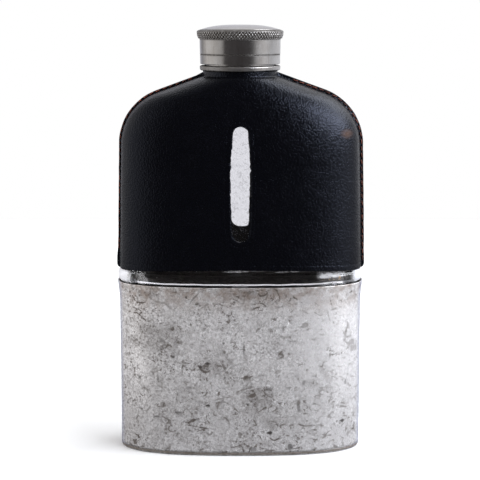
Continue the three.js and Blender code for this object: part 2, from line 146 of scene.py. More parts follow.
# Lines creased beside the slot and the lower edge: distance from the edge, width and depth.
SLOT_CREASE = (1.75, 0.2, 0.12)
EDGE_CREASE = (2.0, 0.2, 0.07)

# Points across a panel: distances from the slot's edge, then the number of points on to the seam.
NEAR = [0.045 * k**1.75 for k in range(24)]
FAR_COUNT = 52
FACE_POINTS = len(NEAR) + FAR_COUNT
FILLET_POINTS = 6

COLLAR_RADIUS, COLLAR_BORE = 12.25, 11.25
SLEEVE_RADIUS, SLEEVE_BORE = 13.85, 13.35
SCREW_LEAD = 2.5
SCREW_TURNS = 2.6
SCREW_START = 141.3
SCREW_HEIGHT = 0.799
SCREW_RUN_OUT = 0.16

CAP_BORE = 13.95
CAP_LINE = 143.1
DOME_POWER = 2.9
DOME_EDGE = 151.9
KNURL_PITCH = 1.14
KNURL_HEIGHT = 1.45
KNURL_DEPTH = 0.24

# ---- Materials ----


class Graph:
    """A node tree being put together."""

    def __init__(self, tree, clear=True):
        self.tree = tree
        if clear:
            tree.nodes.clear()

    def put(self, socket, value):
        """Gives an input a value or another node's output. Colours have three parts."""
        if isinstance(value, bpy.types.NodeSocket):
            self.tree.links.new(value, socket)
        else:
            socket.default_value = (*value, 1.0) if socket.type == "RGBA" else value

    def add(self, kind, inputs=(), **settings):
        """A new node. inputs holds values by the input's name, or in order from the first."""
        made = self.tree.nodes.new("ShaderNode" + kind)
        for key, value in settings.items():
            setattr(made, key, value)
        for key, value in inputs.items() if isinstance(inputs, dict) else enumerate(inputs):
            self.put(made.inputs[key], value)
        return made

    def out(self, kind, inputs=(), **settings):
        """A new node's first output."""
        return self.add(kind, inputs, **settings).outputs[0]

    def math(self, operation, a, b=0.0, clamp=False):
        return self.out("Math", [a, b], operation=operation, use_clamp=clamp)

    def times(self, first, *others):
        for other in others:
            first = self.math("MULTIPLY", first, other)
        return first

    def most(self, first, *others):
        for other in others:
            first = self.math("MAXIMUM", first, other)
        return first

    def ramp(self, value, low, high, out_low=0.0, out_high=1.0, smooth=True):
        """Runs from out_low at low to out_high at high, and is held beyond both."""
        style = "SMOOTHSTEP" if smooth else "LINEAR"
        return self.out("MapRange", [value, low, high, out_low, out_high], interpolation_type=style)

    def within(self, value, rise_from, rise_to, fall_from, fall_to):
        """1 between two limits with soft edges, 0 outside them."""
        return self.times(self.ramp(value, rise_from, rise_to), self.ramp(value, fall_to, fall_from))

    def mix(self, factor, a, b):
        """A mix of two colours."""
        return self.add("Mix", {"Factor": factor, "A": a, "B": b}, data_type="RGBA").outputs["Result"]


class Look(Graph):
    """A node material. Coordinates are the object's own, in millimetres."""

    def __init__(self, name):
        self.material = bpy.data.materials.new(name)
        self.material.use_nodes = True
        super().__init__(self.material.node_tree, clear=False)
        self.shader = self.tree.nodes["Principled BSDF"]
        where = self.add("TexCoord").outputs["Object"]
        self.mm = self.out("VectorMath", {0: where, "Scale": 1 / MM}, operation="SCALE")
        self.x, self.y, self.z = self.add("SeparateXYZ", [self.mm]).outputs

    def set(self, **values):
        for key, value in values.items():
            self.put(self.shader.inputs[key.replace("_", " ")], value)

    def vector(self, operation, *values):
        return self.add("VectorMath", values, operation=operation).outputs

    def stretched(self, scale, turn=0.0, shift=(0.0, 0.0, 0.0)):
        """Coordinates turned by some degrees about Y and then scaled along each axis."""
        inputs = {"Vector": self.mm, "Location": shift, "Rotation": (0.0, math.radians(turn), 0.0)}
        return self.out("Mapping", {**inputs, "Scale": [1 / k for k in scale]}, vector_type="TEXTURE")

    def noise(self, size, detail=3.0, rough=0.55, vector=None, distortion=0.0, output="Fac"):
        """Noise with features about size millimetres across, 0 to 1."""
        inputs = {"Vector": vector or self.mm, "Scale": 1 / size, "Detail": detail}
        made = self.add("TexNoise", {**inputs, "Roughness": rough, "Distortion": distortion})
        return made.outputs[output]

    def cells(self, size, vector=None):
        """Distance from the nearest of some scattered points, in sizes."""
        return self.out("TexVoronoi", {"Vector": vector or self.mm, "Scale": 1 / size})

    def bump(self, height, depth, normal=None):
        """Relief of a 0 to 1 height, depth millimetres deep."""
        inputs = {"Height": height, "Distance": depth * MM, "Strength": 1.0}
        return self.out("Bump", {**inputs, "Normal": normal} if normal else inputs)

    def attribute(self, name):
        return self.add("Attribute", attribute_name=name).outputs["Fac"]

    def spots(self, spacing, radius, share, stretch, turn, seed, ragged=0.1):
        """Scattered blots of mixed size, 0 to 1. share is the part of the places that stay empty."""
        place = self.stretched([1 / (spacing * k) for k in stretch], turn, (seed * 3.7, seed * 1.3, seed * 2.9))
        jitter = self.noise(1 / 1.6, 2.0, 0.5, output="Color")
        place = self.vector("MULTIPLY_ADD", jitter, (ragged,) * 3, place)[0]
        made = self.add("TexVoronoi", {"Vector": place, "Scale": 1.0})
        reach = radius / spacing
        size = self.ramp(self.out("SeparateColor", [made.outputs["Color"]]), share, 1.0, 0.0, reach, smooth=False)
        return self.ramp(self.math("SUBTRACT", size, made.outputs["Distance"]), 0.0, 0.35 * reach)

    def warped(self, size, reach):
        """Coordinates pushed about by noise, for ragged outlines."""
        centred = self.vector("SUBTRACT", self.noise(size, 3.0, 0.5, output="Color"), (0.5, 0.5, 0.5))[0]
        return self.vector("MULTIPLY_ADD", centred, (reach,) * 3, self.mm)[0]

    def blot(self, x, z, half_x, half_z, dark, outer, inner, vector):
        """One soft oval on the front face, dark at most. outer and inner are where it fades, in half-sizes."""
        from_middle = self.vector("SUBTRACT", vector, (x, -CUP_HALF_DEPTH, z))[0]
        scaled = self.vector("MULTIPLY", from_middle, (1 / half_x, 1 / CUP_HALF_DEPTH, 1 / half_z))[0]
        return self.ramp(self.vector("LENGTH", scaled)["Value"], outer, inner, 0.0, dark)

    def scratches(self, size, width, piece, share, stretch, turn, seed):
        """Curling hairlines along a noise's middle level, cut into pieces. A larger share leaves fewer of them."""
        field = self.noise(1.0, 2, 0.5, self.stretched([k / size for k in stretch], turn, (seed,) * 3), 0.3)
        line = self.ramp(self.math("ABSOLUTE", self.math("SUBTRACT", field, 0.5)), width, width * 0.3)
        whole = self.noise(1.0, 2, 0.5, self.stretched((1 / piece,) * 3, turn, (2 * seed, seed, 0)))
        return self.times(line, self.ramp(whole, share, share + 0.05))


# Dents and dark pits on the cup's front: x, height, half-length and half-height in millimetres, and darkness.
DENTS = [
    (-11.6, 18.8, 0.95, 0.6, 1.0),
    (37.0, 11.6, 1.2, 0.75, 1.0),
    (10.6, 8.6, 1.2, 0.65, 1.0),
    (-19.1, 58.3, 0.6, 0.55, 0.9),
    (-23.9, 36.3, 0.6, 0.55, 0.9),
    (-11.8, 34.3, 0.8, 0.5, 0.95),
    (-14.2, 33.1, 0.7, 0.6, 0.95),
    (38.1, 26.0, 0.6, 1.3, 0.6),
    (10.5, 24.8, 1.6, 0.7, 0.6),
    (-22.1, 15.9, 1.6, 0.5, 0.7),
    (-30.0, 13.8, 1.5, 0.45, 0.7),
    (21.0, 17.6, 0.8, 1.7, 0.6),
    (22.8, 27.0, 0.7, 1.1, 0.6),
    (1.3, 39.6, 0.3, 3.6, 0.6),
    (18.8, 42.3, 2.0, 0.25, 0.6),
    (-27.9, 42.3, 1.3, 0.8, 0.5),
    (18.0, 3.2, 1.2, 1.4, 0.75),
    (4.6, 2.6, 1.5, 1.0, 0.6),
    (13.7, 54.8, 1.6, 0.35, 0.5),
    (15.2, 46.7, 0.4, 1.4, 0.55),
    (-5.9, 41.7, 0.5, 0.45, 0.8),
    (-4.6, 45.5, 0.45, 0.4, 0.6),
    (-5.5, 29.0, 0.45, 0.4, 0.7),
    (-29.5, 28.1, 0.5, 1.0, 0.7),
    (-36.3, 27.7, 0.5, 0.9, 0.6),
    (-35.8, 16.2, 0.6, 0.5, 0.7),
    (-40.9, 17.5, 0.5, 0.5, 0.8),
    (26.6, 29.2, 1.5, 0.35, 0.55),
    (17.5, 25.3, 1.3, 0.4, 0.6),
    (26.6, 18.9, 1.2, 0.35, 0.5),
    (2.6, 19.4, 0.7, 0.5, 0.7),
    (7.5, 30.0, 1.4, 0.5, 0.5),
    (-22.6, 8.1, 1.4, 0.3, 0.5),
    (-15.8, 13.7, 1.0, 0.35, 0.6),
    (-18.5, 25.1, 1.0, 0.6, 0.45),
]

# Broad soft staining on the front, stated the same way.
STAINS = [
    (6.6, 21.0, 10.0, 8.0, 0.75),
    (11.4, 12.5, 9.0, 6.0, 0.6),
    (-27.5, 41.5, 8.0, 5.0, 0.6),
    (-12.4, 32.5, 4.5, 3.5, 0.7),
    (2.0, 59.5, 16.0, 3.5, 0.8),
    (-34.0, 58.5, 8.0, 3.0, 0.7),
    (26.0, 26.5, 7.0, 3.0, 0.4),
    (-17.0, 24.5, 9.0, 3.5, 0.35),
    (8.0, 4.5, 14.0, 4.0, 0.5),
    (-36.5, 52.0, 3.5, 8.0, 0.3),
]


def worn_plate():
    """Silver plate with grey-brown staining, pits, chains of small marks, fine curling scratches and a few dents.
    Painted shade darkens it towards the bottom, painted light thins the dark specks, pits and mottle on its right side,
    and a painted bluish reflection lies along its grazing edges.
    """
    look = Look("worn_silver_plate")
    ragged = look.warped(1.4, 1.1)
    stains_and_low_shade = look.times(look.ramp(look.noise(17, 4, 0.62, distortion=0.6), 0.5, 0.72), 0.6)
    for x, z, half_x, half_z, dark in STAINS:
        stains_and_low_shade = look.most(stains_and_low_shade, look.blot(x, z, half_x, half_z, dark, 1.0, 0.1, ragged))
    stains_and_low_shade = look.times(stains_and_low_shade, look.ramp(look.noise(2.4, 6, 0.8), 0.34, 0.58, 0.35, 1.0))
    fine = look.noise(0.7, 4, 0.85)
    # Painted light: this factor thins the dark specks and pits towards the right, so the window-lit side reads
    # brighter.
    painted_light_right = look.ramp(look.x, 12.0, 30.0, 1.0, 0.36)
    speckle = look.times(look.ramp(fine, 0.57, 0.4), painted_light_right)
    colour = look.mix(speckle, (1.0, 0.985, 1.0), (0.52, 0.505, 0.51))
    # The mottle is the plate's own; its fading towards the right is painted light.
    mottle_and_painted_light = look.times(look.ramp(look.noise(4.2, 6, 0.8), 0.44, 0.62), look.ramp(look.x, 16.0, 30.0, 0.17, 0.03))
    colour = look.mix(mottle_and_painted_light, colour, (0.46, 0.44, 0.43))
    # Painted shade: darker towards the bottom, broken up by noise.
    lower = look.times(
        look.ramp(look.z, 36.0, 12.0, 0.0, 0.3),
        look.ramp(look.noise(6.0, 4, 0.6), 0.3, 0.6, 0.4, 1.0),
    )
    # From here on the blots also carry the painted shade towards the bottom.
    stains_and_low_shade = look.most(stains_and_low_shade, lower)
    colour = look.mix(look.times(stains_and_low_shade, 0.95), colour, (0.21, 0.19, 0.18))
    rim = look.ramp(look.z, CUP_HIGH.z - 13, CUP_HIGH.z - 0.5)
    foot = look.ramp(look.z, 1.4, 0.3, 0.0, 0.4)
    worn_edge = look.times(look.most(rim, foot), look.ramp(look.noise(3.6, 5, 0.65), 0.36, 0.64, 0.1, 1.0))
    colour = look.mix(look.times(worn_edge, 0.68), colour, (0.34, 0.255, 0.205))

    crowd = look.ramp(look.noise(9, 3, 0.6), 0.44, 0.62)
    crowd = look.times(crowd, look.ramp(look.x, 20.0, 30.0, 1.0, 0.15))
    crowd = look.math("MAXIMUM", crowd, look.times(stains_and_low_shade, 1.3), clamp=True)
    pits = look.times(look.ramp(look.noise(0.85, 3, 0.75), 0.57, 0.61), look.ramp(crowd, 0.0, 1.0, 0.36, 1.0))
    # Fewer pits on the right: painted light, as above.
    pits = look.times(pits, look.math("ADD", painted_light_right, 0.2, clamp=True))
    marks = look.most(*[
        look.scratches(*numbers) for numbers in (
            (8.0, 0.019, 3.4, 0.52, (0.6, 1.0, 1.0), 14, 3.0),
            (5.5, 0.025, 2.4, 0.57, (1.0, 1.0, 1.6), -24, 11.0),
            (11.0, 0.017, 5.0, 0.53, (0.45, 1.0, 1.0), -6, 23.0),
            (6.5, 0.021, 1.8, 0.56, (1.0, 1.0, 0.8), 52, 31.0),
        )
    ])
    marks = look.times(marks, look.ramp(crowd, 0.0, 0.7, 0.6, 1.0), look.ramp(look.y, -2.0, 6.0, 1.0, 0.5))
    chain = look.scratches(13.0, 0.034, 6.0, 0.5, (0.5, 1.0, 1.0), 4, 41.0)
    chain = look.times(chain, look.ramp(look.noise(0.9, 4, 0.75), 0.5, 0.6))
    dents = look.times(look.spots(11, 1.0, 0.7, (1.3, 1.0, 0.8), 10, 6.0), look.ramp(look.y, -5.0, 5.0))
    for x, z, half_x, half_z, dark in DENTS:
        dents = look.most(dents, look.blot(x, z, half_x, half_z, dark, 1.15, 0.6, ragged))
    # Painted reflection: a bluish tint along the edges seen at a grazing angle.
    sheen = look.ramp(look.add("LayerWeight").outputs["Facing"], 0.5, 0.85, 0.0, 0.8)
    for amount, paint in (
        (look.times(pits, 0.9), (0.09, 0.07, 0.06)),
        (look.times(marks, 0.85), (0.1, 0.08, 0.065)),
        (look.times(chain, 0.8), (0.12, 0.1, 0.085)),
        (look.times(dents, 0.93), (0.05, 0.042, 0.038)),
        (sheen, (0.5, 0.52, 0.64)),
        (look.times(look.attribute("inside"), 0.85), (0.2, 0.17, 0.14)),
    ):
        colour = look.mix(amount, colour, paint)
    sunk = look.most(marks, pits, dents, chain)
    rough = look.ramp(look.noise(5, 5, 0.68), 0.25, 0.8, 0.2, 0.34)
    rough = look.math("ADD", rough, look.times(sunk, 0.25), clamp=True)
    relief = look.bump(fine, 0.008)
    relief = look.bump(look.noise(3.0, 4, 0.6), 0.014, relief)
    relief = look.bump(look.math("SUBTRACT", 1.0, sunk), 0.03, relief)
    look.set(Base_Color=colour, Roughness=rough, Metallic=0.38, Normal=relief)
    return look.material


def polished_plate():
    """Turned and polished plate, worn_edge by age, with deposits darkening the grooves and faint handling marks; on the
    collar flange the same darkening also carries painted shade.
    """
    look = Look("polished_plate")
    colour = look.mix(look.ramp(look.noise(5, 4, 0.6), 0.3, 0.7), (0.59, 0.58, 0.58), (0.5, 0.48, 0.47))
    streaks = look.noise(1.0, 4, 0.7, look.stretched((1.1, 1.1, 0.12)))
    colour = look.mix(look.ramp(streaks, 0.5, 0.68, 0.0, 0.35), colour, (0.33, 0.29, 0.27))
    smut = look.times(look.ramp(look.noise(1.3, 4, 0.7), 0.58, 0.8), 0.35)
    colour = look.mix(smut, colour, (0.24, 0.2, 0.175))
    # Darkening read from the point attribute: deposits in grooves and joints, and painted shade on the flange's left
    # side and middle.
    dirt_and_shade = look.times(look.attribute("dirt_and_shade"), look.ramp(look.noise(1.1, 3, 0.6), 0.2, 0.6, 0.65, 1.0))
    colour = look.mix(dirt_and_shade, colour, (0.022, 0.016, 0.012))
    dull = look.attribute("dull")
    rough = look.ramp(look.noise(2.6, 4, 0.65), 0.25, 0.8, 0.1, 0.2)
    rough = look.math("ADD", rough, look.times(dirt_and_shade, 0.45), clamp=True)
    rough = look.math("ADD", rough, look.times(dull, 0.22), clamp=True)
    metal = look.math("SUBTRACT", look.ramp(dirt_and_shade, 0.3, 1.0, 1.0, 0.2), look.times(dull, 0.32), clamp=True)
    relief = look.bump(look.noise(1.0, 3, 0.7, look.stretched((0.05, 0.05, 9.0))), 0.003)
    relief = look.bump(look.noise(0.6, 4, 0.7), 0.003, relief)
    look.set(Base_Color=colour, Roughness=rough, Metallic=metal, Normal=relief)
    return look.material


def black_leather():
    """Black calf with a fine pebbled grain, creases and a soft semi-gloss finish; cut edges are raw brown."""
    look = Look("black_leather")
    net = look.cells(0.68, look.warped(1.6, 0.4))
    pebble = look.ramp(look.times(net, net), 0.42, 0.0, smooth=False)
    crease = look.ramp(look.noise(1.0, 4, 0.6, look.stretched((0.28, 0.28, 0.85), 18)), 0.47, 0.5)
    worn = look.ramp(look.noise(12, 4, 0.6), 0.45, 0.75)
    colour = look.mix(worn, (0.0018, 0.0019, 0.0034), (0.0036, 0.0036, 0.0058))
    # Painted shade: the grain's valleys are painted darker than its tops.
    colour = look.mix(pebble, (0.0012, 0.0012, 0.0018), colour)
    scuff = look.blot(37.8, 115.6, 2.8, 2.0, 1.0, 1.2, 0.2, look.warped(1.2, 1.0))
    colour = look.mix(scuff, colour, (0.085, 0.042, 0.02))
    cut = look.attribute("cut_edge")
    colour = look.mix(cut, colour, (0.085, 0.055, 0.035))
    rough = look.ramp(look.noise(3.0, 2, 0.5), 0.25, 0.8, 0.15, 0.21)
    rough = look.math("ADD", rough, look.ramp(pebble, 0.0, 0.6, 0.12, 0.0))
    rough = look.math("ADD", rough, look.times(scuff, 0.3))
    rough = look.math("ADD", rough, look.times(cut, 0.4), clamp=True)
    relief = look.bump(pebble, 0.06)
    relief = look.bump(look.noise(2.2, 3, 0.5), 0.03, relief)
    relief = look.bump(look.noise(0.3, 3, 0.6), 0.012, relief)
    relief = look.bump(crease, 0.006, relief)
    look.set(Base_Color=colour, Roughness=rough, Normal=relief)
    # The reflections are tinted blue: a painted tint standing for the bluish window light.
    look.set(Specular_IOR_Level=0.32, Specular_Tint=(0.7, 0.77, 1.0))
    return look.material


def waxed_thread():
    """Rust-brown two-ply linen, waxed and darkened in places."""
    look = Look("seam_thread")
    dark = look.ramp(look.noise(5.0, 2, 0.5), 0.35, 0.65)
    colour = look.mix(dark, (0.2, 0.05, 0.03), (0.075, 0.022, 0.016))
    ply = look.noise(1.0, 2, 0.5, look.stretched((3.0, 3.0, 3.0), 38))
    colour = look.mix(look.ramp(ply, 0.55, 0.75, 0.0, 0.5), colour, (0.36, 0.15, 0.085))
    look.set(Base_Color=colour, Roughness=look.ramp(ply, 0.2, 0.8, 0.5, 0.75), Normal=look.bump(ply, 0.05))
    return look.material


def clear_glass():
    """Old clear glass, faintly grey, with a bloom of residue in smears, brown specks at the ends of the band, and
    painted whitish glare: a patch high on the band's right, the band's two ends and a broken glint line under the
    leather's edge.
    """
    look = Look("clear_glass")
    right = look.within(look.x, 26.5, 29.5, 35.0, 38.5)
    streaks = look.noise(1.0, 3, 0.6, look.stretched((0.3, 0.3, 1.3), 10))
    # Painted highlight: a whitish patch high on the band's right side, standing for the window's glare.
    upper = look.times(right, look.within(look.z, 64.3, 65.2, 66.6, 67.6))
    # Painted light: the band's two ends are clouded whitish, standing for light coming through them.
    ends = look.most(look.ramp(look.x, 39.5, 42.0), look.ramp(look.x, -38.5, -41.0))
    ends = look.times(ends, look.within(look.z, 61.5, 62.3, 67.2, 68.0))
    dashes = look.ramp(look.noise(1.0, 3, 0.6, look.stretched((0.16, 0.5, 0.5))), 0.46, 0.58)
    # Painted glint: a broken whitish line under the leather's edge on the right half.
    painted_glint_line = look.times(look.within(look.z, 66.95, 67.15, 67.6, 67.75), dashes, look.ramp(look.x, -8.0, 0.0))
    smears = look.ramp(look.noise(2.2, 5, 0.72), 0.54, 0.7, 0.0, 0.2)
    # Whitish clouding: real smears higher up, painted glare at the patch, the ends and the glint line.
    residue_and_painted_glare = look.most(
        look.times(upper, look.ramp(streaks, 0.34, 0.6, 0.1, 0.5)),
        look.times(ends, look.ramp(streaks, 0.25, 0.6, 0.75, 1.0)),
        look.times(painted_glint_line, 0.8),
        look.times(smears, look.ramp(look.z, 83.5, 85.5)),
    )
    lower = look.times(look.within(look.z, 63.6, 64.3, 64.9, 65.6), look.ramp(look.x, 42.0, 38.5))
    brown = look.times(right, lower, look.ramp(look.noise(0.7, 4, 0.7), 0.54, 0.62))
    hairs = look.scratches(4.0, 0.03, 1.8, 0.56, (1.0, 1.0, 1.0), 30, 5.0)
    colour = look.mix(residue_and_painted_glare, (0.905, 0.905, 0.935), (0.88, 0.89, 0.95))
    colour = look.mix(look.times(hairs, 0.55), colour, (0.42, 0.41, 0.43))
    colour = look.mix(brown, colour, (0.33, 0.2, 0.08))
    specks = look.ramp(look.cells(3.4), 0.05, 0.02)
    rough = look.most(look.times(specks, 0.5), look.times(residue_and_painted_glare, 0.4))
    clear = look.ramp(look.most(residue_and_painted_glare, brown), 0.0, 1.0, 1.0, 0.08, smooth=False)
    wobble = look.bump(look.noise(9, 2, 0.4), 0.05)
    look.set(Base_Color=colour, Roughness=rough, Normal=wobble, Transmission_Weight=clear, IOR=1.5)
    return look.material


def natural_cork():
    look = Look("cork")
    spots = look.ramp(look.cells(0.9), 0.32, 0.12)
    tone = look.noise(1.4, 4, 0.65)
    colour = look.mix(tone, (0.5, 0.32, 0.17), (0.66, 0.46, 0.27))
    colour = look.mix(look.times(spots, 0.75), colour, (0.14, 0.075, 0.035))
    relief = look.bump(look.math("SUBTRACT", tone, spots), 0.15)
    look.set(Base_Color=colour, Roughness=look.ramp(tone, 0.2, 0.8, 0.75, 0.95), Normal=relief)
    return look.material


def plaster():
    look = Look("plaster")
    tone = look.noise(0.9, 5, 0.7)
    colour = look.mix(tone, (0.62, 0.57, 0.48), (0.82, 0.79, 0.72))
    look.set(Base_Color=colour, Roughness=look.ramp(tone, 0.2, 0.8, 0.85, 1.0), Normal=look.bump(tone, 0.12))
    return look.material


MATERIALS = {
    "worn_silver_plate": worn_plate(),
    "polished_plate": polished_plate(),
    "black_leather": black_leather(),
    "seam_thread": waxed_thread(),
    "clear_glass": clear_glass(),
    "cork": natural_cork(),
    "plaster": plaster(),
}

# ---- Mesh making ----


def make_piece(name, verts, faces, body, node, slot):
    """A mesh from points in millimetres, riding on a body and standing for the CAD node named."""
    mesh = bpy.data.meshes.new(name)
    mesh.from_pydata([(x * MM, y * MM, z * MM) for x, y, z in verts], [], faces)
    mesh.validate()
    mesh.materials.append(MATERIALS[slot])
    mesh.polygons.foreach_set("use_smooth", [True] * len(mesh.polygons))
    piece = bpy.data.objects.new(name, mesh)
    bpy.context.scene.collection.objects.link(piece)
    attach(piece, body)
    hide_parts(node)
    return piece


def mark(piece, name, value):
    """A point attribute from a function of a point's place in millimetres. A material can read it."""
    mesh = piece.data
    items = mesh.attributes.new(name, "FLOAT", "POINT").data
    for vertex, item in zip(mesh.vertices, items):
        item.value = value(vertex.co.x / MM, vertex.co.y / MM, vertex.co.z / MM)


def weld(piece):
    """Joins points that lie together, drops collapsed faces and turns all faces outward."""
    made = bmesh.new()
    made.from_mesh(piece.data)
    bmesh.ops.remove_doubles(made, verts=made.verts, dist=0.002 * MM)
    bmesh.ops.dissolve_degenerate(made, edges=made.edges, dist=0.0005 * MM)
    bmesh.ops.recalc_face_normals(made, faces=made.faces)
    made.to_mesh(piece.data)
    made.free()


def skin(rows, wrap_rows=False):
    """Quads between closed loops of points, all of one length. wrap_rows joins the last loop to the first."""
    count = len(rows[0])
    faces = []
    for r in range(len(rows) if wrap_rows else len(rows) - 1):
        low, high = r * count, (r + 1) % len(rows) * count
        for i in range(count):
            j = (i + 1) % count
            faces.append((low + i, low + j, high + j, high + i))
    return [p for row in rows for p in row], faces


def closed_skin(rows):
    """A skin with flat fans over the first and last loop."""
    verts, faces = skin(rows)
    count = len(rows[0])
    for first, row, flip in ((0, rows[0], True), ((len(rows) - 1) * count, rows[-1], False)):
        centre = len(verts)
        verts.append((0.0, 0.0, sum(p[2] for p in row) / count))
        for i in range(count):
            here, ahead = first + i, first + (i + 1) % count
            faces.append((centre, ahead, here) if flip else (centre, here, ahead))
    return verts, faces


def turned(profile, count, shape=None):
    """Loops of a profile of (radius, height) turned about Z. shape(radius, turn, height) can alter the radius."""
    rows = []
    for radius, height in profile:
        row = []
        for i in range(count):
            turn = 2 * math.pi * i / count
            r = shape(radius, turn, height) if shape else radius
            row.append((r * math.cos(turn), r * math.sin(turn), height))
        rows.append(row)
    return rows


def make_ring(name, profile, count, shape, body, node, slot):
    """A piece from a closed profile turned about Z."""
    return make_piece(name, *skin(turned(profile, count, shape), wrap_rows=True), body, node, slot)


def arc(centre_r, centre_z, radius, start, end, steps):
    """Points of an arc in the (radius, height) plane, angles in degrees from +radius."""
    angles = [math.radians(start + (end - start) * i / steps) for i in range(steps + 1)]
    return [(centre_r + radius * math.cos(a), centre_z + radius * math.sin(a)) for a in angles]


def finer(profile, step):
    """The same profile with points no further apart than step."""
    out = [profile[0]]
    for (r0, z0), (r1, z1) in zip(profile, profile[1:]):
        n = max(1, math.ceil(math.hypot(r1 - r0, z1 - z0) / step))
        out += [(r0 + (r1 - r0) * k / n, z0 + (z1 - z0) * k / n) for k in range(1, n + 1)]
    return out


def held(profile, gap=0.03):
    """The same profile with a point close to each corner, so that smooth shading keeps its flats flat."""
    out = [profile[0]]
    for (r0, z0), (r1, z1) in zip(profile, profile[1:]):
        share = gap / max(math.hypot(r1 - r0, z1 - z0), gap)
        if share < 0.3:
            out += [(r0 + (r1 - r0) * k, z0 + (z1 - z0) * k) for k in (share, 1 - share)]
        out.append((r1, z1))
    return out


def ripple(x, y, z, scale, seed=0.0):
    """Smooth noise from -1 to 1 with bumps about scale millimetres wide."""
    return noise.noise(Vector((x / scale + seed, y / scale - seed, z / scale + 2 * seed)))


def part_way(value, start, end):
    """0 at start, 1 at end, and held beyond both."""
    return min(max((value - start) / (end - start), 0.0), 1.0)


# ---- Ovals ----


def oval_xy(half_width, half_depth, power, turn):
    c, s = math.cos(turn), math.sin(turn)
    x = half_width * math.copysign(abs(c) ** (2 / power), c)
    y = half_depth * math.copysign(abs(s) ** (2 / power), s)
    return x, y


def oval_row(half_width, half_depth, z, turns, power=OVAL_POWER):
    return [(*oval_xy(half_width, half_depth, power, t), z) for t in turns]


def even_turns(count):
    """Superellipse parameters that space points evenly round the body's oval."""
    fine = 20000
    points = [oval_xy(BODY_HALF_WIDTH, 18.0, OVAL_POWER, 2 * math.pi * k / fine) for k in range(fine + 1)]
    lengths = [0.0]
    for (x0, y0), (x1, y1) in zip(points, points[1:]):
        lengths.append(lengths[-1] + math.hypot(x1 - x0, y1 - y0))
    turns = []
    k = 0
    for i in range(count):
        while lengths[k + 1] < lengths[-1] * i / count:
            k += 1
        turns.append(2 * math.pi * k / fine)
    return turns


# ---- The body's outline. out moves it outward from the leather's outer face ----


def shoulder_end(out):
    radius = SHOULDER_RADIUS + out
    turn = math.pi / 2 - SLOPE
    return SHOULDER_X + radius * math.cos(turn), SHOULDER_Z + radius * math.sin(turn)


def neck_height(out):
    end_x, end_z = shoulder_end(out)
    return end_z + (end_x - (LEATHER_NECK + out)) * math.tan(SLOPE)


def body_half_width(z, out):
    radius = SHOULDER_RADIUS + out
    rise = z - SHOULDER_Z
    end_x, end_z = shoulder_end(out)
    if z > end_z:
        return end_x - (z - end_z) / math.tan(SLOPE)
    if rise > 0:
        return SHOULDER_X + math.sqrt(radius**2 - rise**2)
    return SHOULDER_X + radius - rise * SIDE_TAPER


def body_oval(z, out):
    """Half-width, half-depth and power of the body's section at a height."""
    neck = LEATHER_NECK + out
    top = neck_height(out)
    if z >= top:
        return neck, neck, 2.0
    fade = math.sqrt(1 - part_way(z, DEPTH_SHOULDER_Z, top) ** 2)
    depth = neck + (LEATHER_HALF_DEPTH - LEATHER_NECK) * fade + max(DEPTH_SHOULDER_Z - z, 0) * DEPTH_TAPER
    return body_half_width(z, out), depth, 2 + (OVAL_POWER - 2) * fade


def seam_point(s, out):
    """A point on the right-hand outline s millimetres along it from the fin's bottom, with its unit tangent."""
    radius = SHOULDER_RADIUS + out
    side = SHOULDER_Z - FIN_BOTTOM
    bend = radius * (math.pi / 2 - SLOPE)
    if s < side:
        z = FIN_BOTTOM + s
        size = math.hypot(SIDE_TAPER, 1.0)
        return body_half_width(z, out), z, (-SIDE_TAPER / size, 1.0 / size)
    if s < side + bend:
        a = (s - side) / radius
        return SHOULDER_X + radius * math.cos(a), SHOULDER_Z + radius * math.sin(a), (-math.sin(a), math.cos(a))
    end_x, end_z = shoulder_end(out)
    rest = s - side - bend
    c, n = math.cos(SLOPE), math.sin(SLOPE)
    return end_x - rest * c, end_z + rest * n, (-c, n)


# ---- Cup ----


def cup_oval(z, inset):
    t = max(z - CUP_FLARE_START, 0) / (CUP_HIGH.z - CUP_FLARE_START)
    out = CUP_FLARE * min(t, 1.0) ** CUP_FLARE_POWER - inset
    return CUP_HALF_WIDTH + out, CUP_HALF_DEPTH + out


def dented(point, strength):
    """Moves a point of the cup's wall a little along its outward normal, the same way inside and out."""
    x, y, z = point
    push = 0.12 * ripple(x, y, z, 17, 1.3) + 0.05 * ripple(x, y, z, 7, 4.2)
    nx, ny = x / CUP_HALF_WIDTH**2, y / CUP_HALF_DEPTH**2
    size = math.hypot(nx, ny) or 1.0
    push = (push - 0.1) * strength
    return x + push * nx / size, y + push * ny / size, z


def make_cup_wall():
    turns = even_turns(CUP_POINTS)
    rim = CUP_WALL / 2
    step = 0.7
    levels = [CUP_LOW.z + step * k for k in range(int((CUP_HIGH.z - CUP_LOW.z - rim) / step))] + [CUP_HIGH.z - rim]
    rows = [oval_row(*cup_oval(z, 0), z, turns) for z in levels]
    for k in range(1, 8):
        a = math.pi * k / 8
        z = CUP_HIGH.z - rim + rim * math.sin(a)
        rows.append(oval_row(*cup_oval(CUP_HIGH.z, rim * (1 - math.cos(a))), z, turns))
    rows += [oval_row(*cup_oval(z, CUP_WALL), z, turns) for z in reversed(levels)]
    shaped = []
    for row in rows:
        z = row[0][2]
        strength = min(1.0, max(0.0, (z - CUP_LOW.z) / 6)) * min(1.0, max(0.15, (CUP_HIGH.z - z) / 6))
        shaped.append([dented(p, strength) for p in row])
    piece = make_piece("cup_wall_body", *skin(shaped, wrap_rows=True), "cup", "cup_wall", "worn_silver_plate")

    def inside(x, y, z):
        half_width, half_depth = cup_oval(z, CUP_WALL / 2)
        return 1.0 if (abs(x) / half_width) ** OVAL_POWER + (abs(y) / half_depth) ** OVAL_POWER < 1 else 0.0

    mark(piece, "inside", inside)


